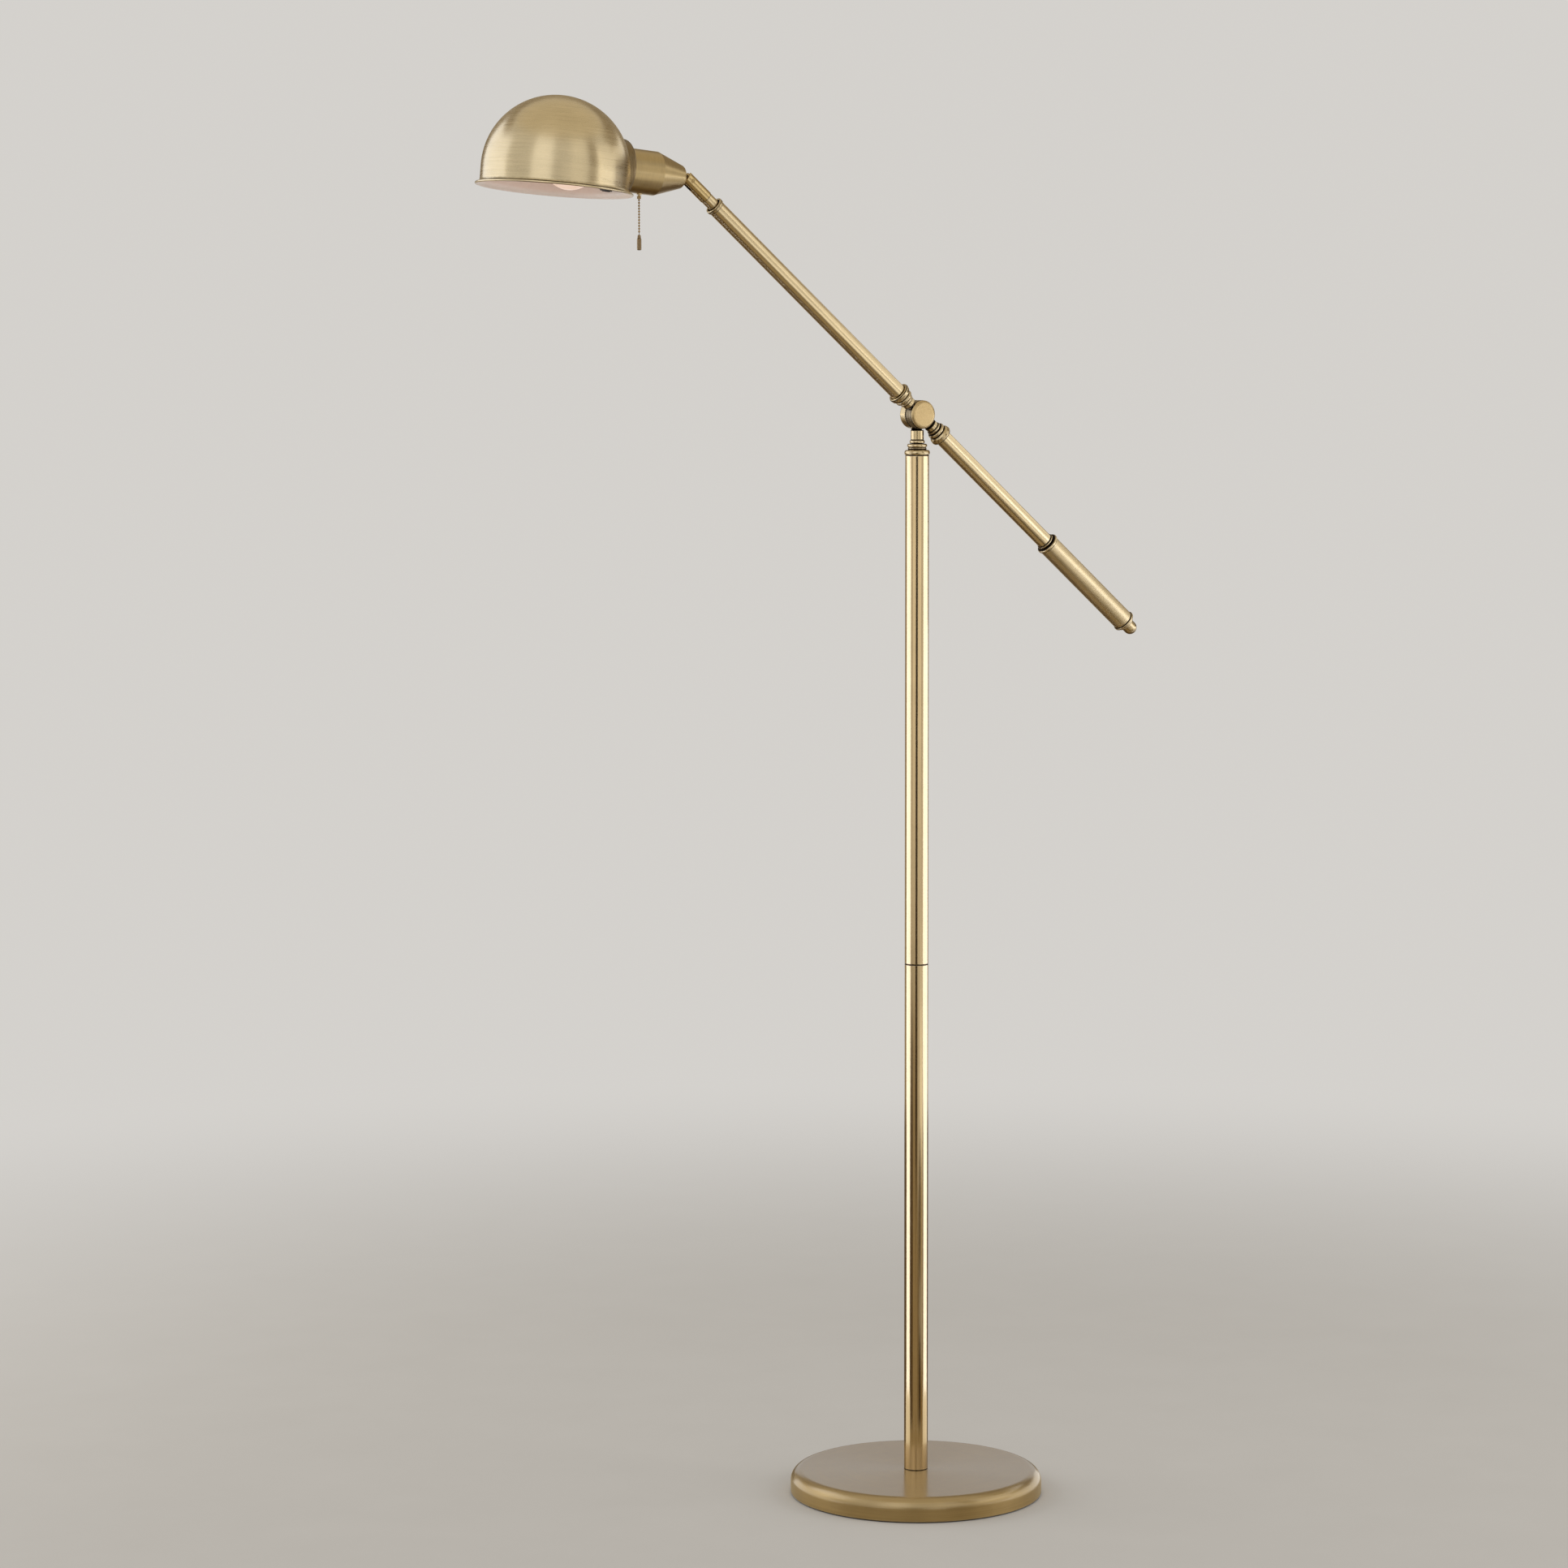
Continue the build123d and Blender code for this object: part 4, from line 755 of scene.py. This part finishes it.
ring_nut = turned("shade_ring_nut_ribbed", rounded(
    [(nut_bore, nut_start), (nut_body, nut_start, 0.5), (nut_body, nut_end, 0.8),
     (nut_bore, nut_end, 0.5)], 4), socket_axis, plastic, 96)
joined(ring_nut, plastic, nut_ribs)
fit(ring_nut, "head", "black_plastic", "shade_ring_nut")

# Bulb: a small round frosted lamp screwed into the holder, lit. Its light warms the enamel
# round it, and the enamel's own colour is painted warm as well, as painted light.
bulb_neck, bulb_start, neck_end, globe_radius, globe_centre = 12.8, 87.0, 98.0, 26.0, 132.0
bulb_glow, bulb_tree, bulb_shader = finish("frosted_bulb_glass", Roughness=0.28, Coat_Weight=0.4,
                                           Coat_Roughness=0.12, Emission_Strength=0.42)
bulb_frost = grain(bulb_tree, 500, 3, 0.6)
bulb_tree.links.new(tones(bulb_tree, bulb_frost, (0.80, 0.74, 0.68), (0.92, 0.88, 0.84)),
                    bulb_shader.inputs["Base Color"])
bulb_tree.links.new(tones(bulb_tree, bulb_frost, (1.0, 0.50, 0.28), (1.0, 0.58, 0.36)),
                    bulb_shader.inputs["Emission Color"])
raised(bulb_tree, bulb_shader, bulb_frost, 0.06, 0.0001)
globe_foot = math.radians(-25.07)
globe_turns = [globe_foot + (math.pi / 2 - globe_foot) * k / 28 for k in range(28)]
globe = ball(globe_radius, globe_centre, globe_turns)
bulb = turned("bulb_glass_blown",
              rounded([(0, bulb_start), (bulb_neck, bulb_start, 0.5), (bulb_neck, neck_end, 16.0),
                       globe[0]])[:-1] + globe + [(0, globe_centre + globe_radius)],
              socket_axis, bulb_glow, 96)
fit(bulb, "head", "bulb_glass", "bulb_glass")

# Pull switch: a small bush in the cup's underside guides the sliding shackle; the bead chain
# hangs from the shackle's eye on a bent clip and ends in a bell-shaped pull of dark brass.
pull_reach = 54.65
pull_axis = on_axis(socket_axis @ Vector((0, 0, pull_reach)), head_up)
guide_bore, guide_radius, guide_foot, guide_top = 1.8, 2.7, -21.75, -18.9
guide = turned("chain_guide_turned", rounded(
    [(guide_bore, guide_foot, 0.2), (guide_radius, guide_foot, 0.35), (guide_radius, guide_top),
     (guide_bore, guide_top)], 4), pull_axis, turned_brass, 40, dark=((-20.9, 0.3),))
fit(guide, "head", "polished_brass", "chain_guide")
dress(milled_brass, "pull_shackle")
chain_brass = brass("aged_chain_brass", (0.36, 0.235, 0.10), (0.46, 0.32, 0.15), 0.22, 0.36, 2.0, 400, 0.1)
beads, beads_in, beads_out = node_group(
    "bead_chain", "GeometryNodeTree",
    {"Count": "Int", "Pitch": "Float", "First": "Float", "Bead radius": "Float", "Wire radius": "Float",
     "Wire length": "Float", "Finish": "Material"}, {"Chain": "Geometry"})
beads_pitch = node(beads, "ShaderNodeCombineXYZ", {"Z": beads_in.outputs["Pitch"]})
beads_first = node(beads, "ShaderNodeCombineXYZ", {"Z": beads_in.outputs["First"]})
beads_line = node(beads, "GeometryNodeMeshLine", {
    "Count": beads_in.outputs["Count"], "Start Location": beads_first.outputs[0],
    "Offset": beads_pitch.outputs[0]})
beads_ball = node(beads, "GeometryNodeMeshUVSphere",
                  {"Segments": 16, "Rings": 10, "Radius": beads_in.outputs["Bead radius"]})
beads_set = node(beads, "GeometryNodeInstanceOnPoints",
                 {"Points": beads_line.outputs[0], "Instance": beads_ball.outputs[0]})
beads_wire = node(beads, "GeometryNodeMeshCylinder", {
    "Vertices": 10, "Radius": beads_in.outputs["Wire radius"], "Depth": beads_in.outputs["Wire length"]})
beads_half = reckon(beads, "MULTIPLY_ADD", beads_in.outputs["Wire length"], -0.5, -0.0017)
beads_drop = node(beads, "ShaderNodeCombineXYZ", {"Z": beads_half})
beads_hung = node(beads, "GeometryNodeTransform",
                  {"Geometry": beads_wire.outputs[0], "Translation": beads_drop.outputs[0]})
beads_both = beads.nodes.new("GeometryNodeJoinGeometry")
beads.links.new(beads_set.outputs[0], beads_both.inputs[0])
beads.links.new(beads_hung.outputs[0], beads_both.inputs[0])
beads_real = node(beads, "GeometryNodeRealizeInstances", {0: beads_both.outputs[0]})
beads_smooth = node(beads, "GeometryNodeSetShadeSmooth", {0: beads_real.outputs[0]})
beads_painted = node(beads, "GeometryNodeSetMaterial",
                     {"Geometry": beads_smooth.outputs[0], "Material": beads_in.outputs["Finish"]})
beads.links.new(beads_painted.outputs[0], beads_out.inputs[0])
eye = Vector((-322.006, -4.7, 1299.34))
chain = grown("pull_chain_beaded", beads, {
    "Count": 12, "Pitch": -0.0027, "First": -0.0032, "Bead radius": 0.001, "Wire radius": 0.0003,
    "Wire length": 0.0383, "Finish": chain_brass})
chain.data.transform(Matrix.Translation(eye / 1000))
clip_mesh = bmesh.new()
clip_outline = [(-2.2, 0.9), (-2.2, -2.2), (2.2, -2.2), (2.2, 0.9),
                (1.7, 0.9), (1.7, -1.7), (-1.7, -1.7), (-1.7, 0.9)]
clip_corners = [clip_mesh.verts.new((Vector((-0.9, y, z)) + eye) / 1000) for y, z in clip_outline]
clip_made = bmesh.ops.extrude_face_region(clip_mesh, geom=[clip_mesh.faces.new(clip_corners)])
bmesh.ops.translate(clip_mesh, vec=(0.0018, 0, 0),
                    verts=[v for v in clip_made["geom"] if isinstance(v, bmesh.types.BMVert)])
bmesh.ops.recalc_face_normals(clip_mesh, faces=clip_mesh.faces)
bmesh.ops.bevel(clip_mesh, geom=clip_mesh.edges[:], offset=0.00016, segments=2, affect="EDGES", profile=0.5)
clip = placed("chain_clip", bpy.data.meshes.new("chain_clip"))
clip_mesh.to_mesh(clip.data)
clip_mesh.free()
clip.data.materials.append(chain_brass)
clip_pin = turned("clip_pin", rounded([(0, -2.35), (0.42, -2.35, 0.15), (0.42, 2.35, 0.15), (0, 2.35)], 3),
                  on_axis(eye, (0, 1, 0)), chain_brass, 16)
joined(chain, chain_brass, clip, clip_pin)
fit(chain, "chain", "polished_brass", "pull_chain")
bell_brass = brass("dark_bell_brass", (0.22, 0.155, 0.085), (0.34, 0.25, 0.14), 0.26, 0.40, 2.0, 700, 0.15)
bell = turned("chain_bell_turned", rounded(
    [(0.4, -36.0), (1.3, -36.0, 0.5), (1.62, -37.8, 1.0), (1.62, -39.0, 0.4), (2.1, -40.2, 0.6),
     (2.1, -50.6, 1.6), (0, -50.6), (0, -40.0), (0.4, -40.0)], 6), on_axis(eye, (0, 0, 1)), bell_brass, 40)
fit(bell, "chain", "polished_brass", "chain_bell")

# Stage: a plain pale floor that fades into the backdrop, soft boxes left, right and overhead, and the
# camera at the photograph's viewing angle. Bright and dark cards that only reflections see stand round
# the lamp, so that the polished brass has light and dark bands to mirror.
backdrop = (0.66, 0.64, 0.61)
floor_paint, floor_tree, floor_shader = finish("pale_floor", Roughness=0.9, Specular_IOR_Level=0.0)
floor_grain = grain(floor_tree, 9, 3, 0.6)
floor_tree.links.new(tones(floor_tree, floor_grain, (0.585, 0.555, 0.510), (0.615, 0.585, 0.540)),
                     floor_shader.inputs["Base Color"])
floor_sweep = node(floor_tree, "ShaderNodeEmission", {"Color": (*backdrop, 1), "Strength": 1.0})
floor_place = node(floor_tree, "ShaderNodeTexCoord").outputs["Object"]
floor_far = node(floor_tree, "ShaderNodeVectorMath", {0: floor_place}, operation="LENGTH").outputs["Value"]
floor_share = between(floor_tree, floor_far, 0.0, 1.0, 0.7, 2.6, "SMOOTHSTEP")
floor_mix = node(floor_tree, "ShaderNodeMixShader",
                 {0: floor_share, 1: floor_shader.outputs[0], 2: floor_sweep.outputs[0]})
floor_tree.links.new(floor_mix.outputs[0], floor_tree.nodes["Material Output"].inputs["Surface"])
floor_mesh = bmesh.new()
bmesh.ops.create_circle(floor_mesh, cap_ends=True, segments=96, radius=14.0)
floor = placed("floor", bpy.data.meshes.new("floor"))
floor_mesh.to_mesh(floor.data)
floor_mesh.free()
floor.data.materials.append(floor_paint)

view_turn, camera_dip, camera_roll, camera_pan = 34, 5.57, 0.088, 1.672
camera = placed("camera", bpy.data.cameras.new("camera"))
camera.location = (-2.5312, -3.7526, 1.163)
camera.rotation_euler = (math.radians(90 - camera_dip), math.radians(camera_roll),
                         math.radians(-view_turn + camera_pan))
camera.data.lens, camera.data.sensor_width = 104.348, 36.0
bpy.context.scene.camera = camera
to_camera = Vector((-math.sin(math.radians(view_turn)), -math.cos(math.radians(view_turn)), 0))
to_right = Vector((-to_camera.y, to_camera.x, 0))


def round_the_lamp(bearing, distance, height):
    """A place round the lamp; bearings are in degrees, from the camera's side towards the right."""
    turn = math.radians(bearing)
    return (to_camera * math.cos(turn) + to_right * math.sin(turn)) * distance + Vector((0, 0, height))


def soft_box(name, place, aim, width, height, brightness):
    """A soft box of a given brightness, facing a point."""
    light = bpy.data.lights.new(name, "AREA")
    light.shape, light.size, light.size_y = "RECTANGLE", width, height
    light.energy = brightness * math.pi * width * height
    lamp = placed(name, light)
    lamp.location = place
    lamp.rotation_euler = (Vector(aim) - Vector(place)).to_track_quat("-Z", "Y").to_euler()
    return lamp


def card(name, bearings, distances, heights, colour, rows=1, spacing=0.0):
    """A studio card that only reflections see: part of a ring round the lamp, upright or lying flat, or
    several such rings one behind the other."""
    steps = 12
    mesh = bpy.data.meshes.new(name)
    spots, faces = [], []
    for row in range(rows):
        near, far = distances[0] + row * spacing, distances[1] + row * spacing
        for step in range(steps + 1):
            bearing = bearings[0] + (bearings[1] - bearings[0]) * step / steps
            first = len(spots)
            spots += [round_the_lamp(bearing, near, heights[0]), round_the_lamp(bearing, far, heights[1])]
            if step < steps:
                faces.append((first, first + 2, first + 3, first + 1))
    mesh.from_pydata(spots, [], faces)
    paper = bpy.data.materials.new(name)
    paper.use_nodes = True
    paper.cycles.emission_sampling = "NONE"
    glow = node(paper.node_tree, "ShaderNodeEmission", {"Color": (*colour, 1)})
    paper.node_tree.links.new(glow.outputs[0], paper.node_tree.nodes["Material Output"].inputs["Surface"])
    mesh.materials.append(paper)
    piece = placed(name, mesh)
    piece.visible_camera = piece.visible_diffuse = piece.visible_shadow = False
    piece.visible_transmission = piece.visible_volume_scatter = False


soft_box("left_box", round_the_lamp(-100, 2.4, 1.25), (0, 0, 1.25), 2.3, 2.5, 1.4)
soft_box("right_box", round_the_lamp(84, 2.4, 1.25), (0, 0, 1.25), 1.75, 2.5, 1.6)
soft_box("top_box", (0, 0, 3.6), (0, 0, 0), 2.2, 2.2, 1.0).visible_glossy = False
brown, umber, olive = (0.10, 0.065, 0.030), (0.34, 0.27, 0.165), (0.70, 0.63, 0.50)
daylight, card_white, slat_grey = (2.1, 2.25, 2.7), (1.05, 1.02, 0.96), (0.62, 0.58, 0.52)

# Cards overhead, behind and in front, with a dark line in the camera's own direction.
card("ceiling", (0, 360), (0.0, 2.0), (3.25, 3.25), olive)
card("high_back", (98, 262), (4.4, 2.1), (1.75, 3.25), (0.32, 0.26, 0.175))
card("far_wall", (140, 220), (4.6, 4.6), (0.3, 1.75), (0.58, 0.57, 0.57))
card("camera_line", (-11, 8.5), (5.6, 5.6), (0.0, 1.2), (0.02, 0.015, 0.01))
card("floor_line", (-11, 8.5), (1.7, 5.6), (0.005, 0.005), (0.04, 0.025, 0.01))
card("front_left", (-40, -11), (5.6, 5.6), (0.35, 1.12), (1.05, 1.02, 0.97))
card("front_right", (8.5, 42), (5.6, 5.6), (0.35, 1.12), (1.10, 1.07, 1.02))
card("front_left_low", (-40, -11), (5.6, 5.6), (0.0, 0.35), (0.85, 0.82, 0.77))
card("front_right_low", (8.5, 42), (5.6, 5.6), (0.0, 0.35), (0.90, 0.87, 0.81))

# Bright strips at both sides, and low ones for the foot. Slats lie along the sight lines off the pole, so
# that the pole mirrors the strips and the top of the base mirrors the slats.
slat_count, slat_pitch, lowest_slat, slat_depth = 16, 0.064, 0.02, 0.23
for side, strip, slats, foot, base in (
        ("left", (-114, -60), (-116, -58), (-106, -64), (-112, -58)),
        ("right", (64, 128), (62, 130), (75, 126), (68, 130))):
    card("strip_" + side, strip, (2.3, 2.3), (0.0, 1.01), daylight)
    for slat in range(slat_count):
        height = lowest_slat + slat_pitch * slat
        rise = slat_depth * (0.17 - 0.147 * height)
        card("blind_" + side, slats, (2.05, 2.28), (height + rise, height), slat_grey)
    card("foot_strip_" + side, foot, (0.29, 0.29), (0.0, 0.0145), daylight, 35, 0.057)
    card("base_strip_" + side, base, (0.2, 0.2), (0.0, 0.06), card_white)
card("base_back", (130, 248), (0.2, 0.2), (0.0, 0.028), (0.15, 0.11, 0.06))
card("edge_left", (-158, -114), (2.25, 2.25), (0.0, 1.01), umber)
card("edge_right", (130, 158), (3.2, 3.2), (0.0, 1.12), (0.45, 0.41, 0.35))

# High cards for the shade and the arm.
card("shade_edge_left", (-158, -129), (3.2, 3.2), (1.12, 2.0), (0.20, 0.15, 0.09))
card("shade_edge_right", (104, 158), (3.2, 3.2), (1.12, 1.95), brown)
card("arm_light", (104, 152), (3.1, 3.1), (1.95, 2.7), (1.15, 1.12, 1.06))
card("shade_front", (-76, 50), (3.3, 2.0), (1.14, 3.2), (0.76, 0.75, 0.73))
card("shade_light_left", (-36, -7), (3.2, 1.9), (1.14, 3.1), (1.26, 1.27, 1.30))
card("shade_light_right", (20, 47), (3.2, 1.9), (1.14, 3.1), (0.95, 0.93, 0.89))
card("shade_gap", (48, 64), (2.25, 1.6), (1.14, 2.6), (0.30, 0.25, 0.18))
card("shade_side_left", (-129, -74), (2.1, 2.1), (1.14, 2.6), (1.30, 1.34, 1.46))
card("shade_side_right", (64, 73), (2.1, 2.1), (1.14, 2.2), (1.3, 1.27, 1.2))
card("shade_back_right", (73, 104), (2.1, 2.1), (1.14, 2.6), (0.88, 0.86, 0.82))

# Dark and light cards on the floor for the arm, the counterweight and the foot of the pole.
card("floor_close", (0, 360), (0.128, 0.29), (0.002, 0.002), umber)
card("floor_left", (-62, -32), (0.29, 3.4), (0.003, 0.003), brown)
card("floor_front", (-32, 12), (0.29, 3.4), (0.003, 0.003), umber)
card("floor_near", (12, 27), (0.29, 1.7), (0.003, 0.003), (0.22, 0.17, 0.10))
card("floor_shadow", (27, 46), (0.29, 0.75), (0.003, 0.003), (0.05, 0.03, 0.01))
card("floor_amber", (46, 62), (0.29, 0.58), (0.003, 0.003), (0.28, 0.19, 0.08))
card("floor_light", (33, 58), (1.25, 1.9), (0.003, 0.003), (1.05, 1.03, 1.0))
card("floor_light_far", (33, 58), (1.9, 3.4), (0.003, 0.003), (1.28, 1.26, 1.22))
card("pole_dark", (27, 45), (1.05, 1.05), (0.0, 0.18), (0.10, 0.07, 0.03))
card("pole_amber", (45, 60), (1.05, 1.05), (0.0, 0.16), (0.50, 0.41, 0.27))
card("floor_right", (62, 112), (0.29, 2.2), (0.003, 0.003), (0.26, 0.20, 0.12))
card("floor_back", (112, 298), (0.29, 2.3), (0.003, 0.003), (0.12, 0.08, 0.04))

world = bpy.data.worlds.new("studio")
bpy.context.scene.world = world
world.use_nodes = True
world_tree = world.node_tree
world_tree.nodes.clear()
room_light = node(world_tree, "ShaderNodeBackground", {"Color": (1.0, 0.985, 0.96, 1), "Strength": 0.5})
room_wall = node(world_tree, "ShaderNodeBackground", {"Color": (*backdrop, 1), "Strength": 1.0})
rays = world_tree.nodes.new("ShaderNodeLightPath")
seen = reckon(world_tree, "MAXIMUM", rays.outputs["Is Camera Ray"], rays.outputs["Is Glossy Ray"])
seen = reckon(world_tree, "MAXIMUM", seen, rays.outputs["Is Transmission Ray"])
room = node(world_tree, "ShaderNodeMixShader", {0: seen, 1: room_light.outputs[0], 2: room_wall.outputs[0]})
node(world_tree, "ShaderNodeOutputWorld", {"Surface": room.outputs[0]})

bpy.context.scene.view_settings.view_transform = "Standard"
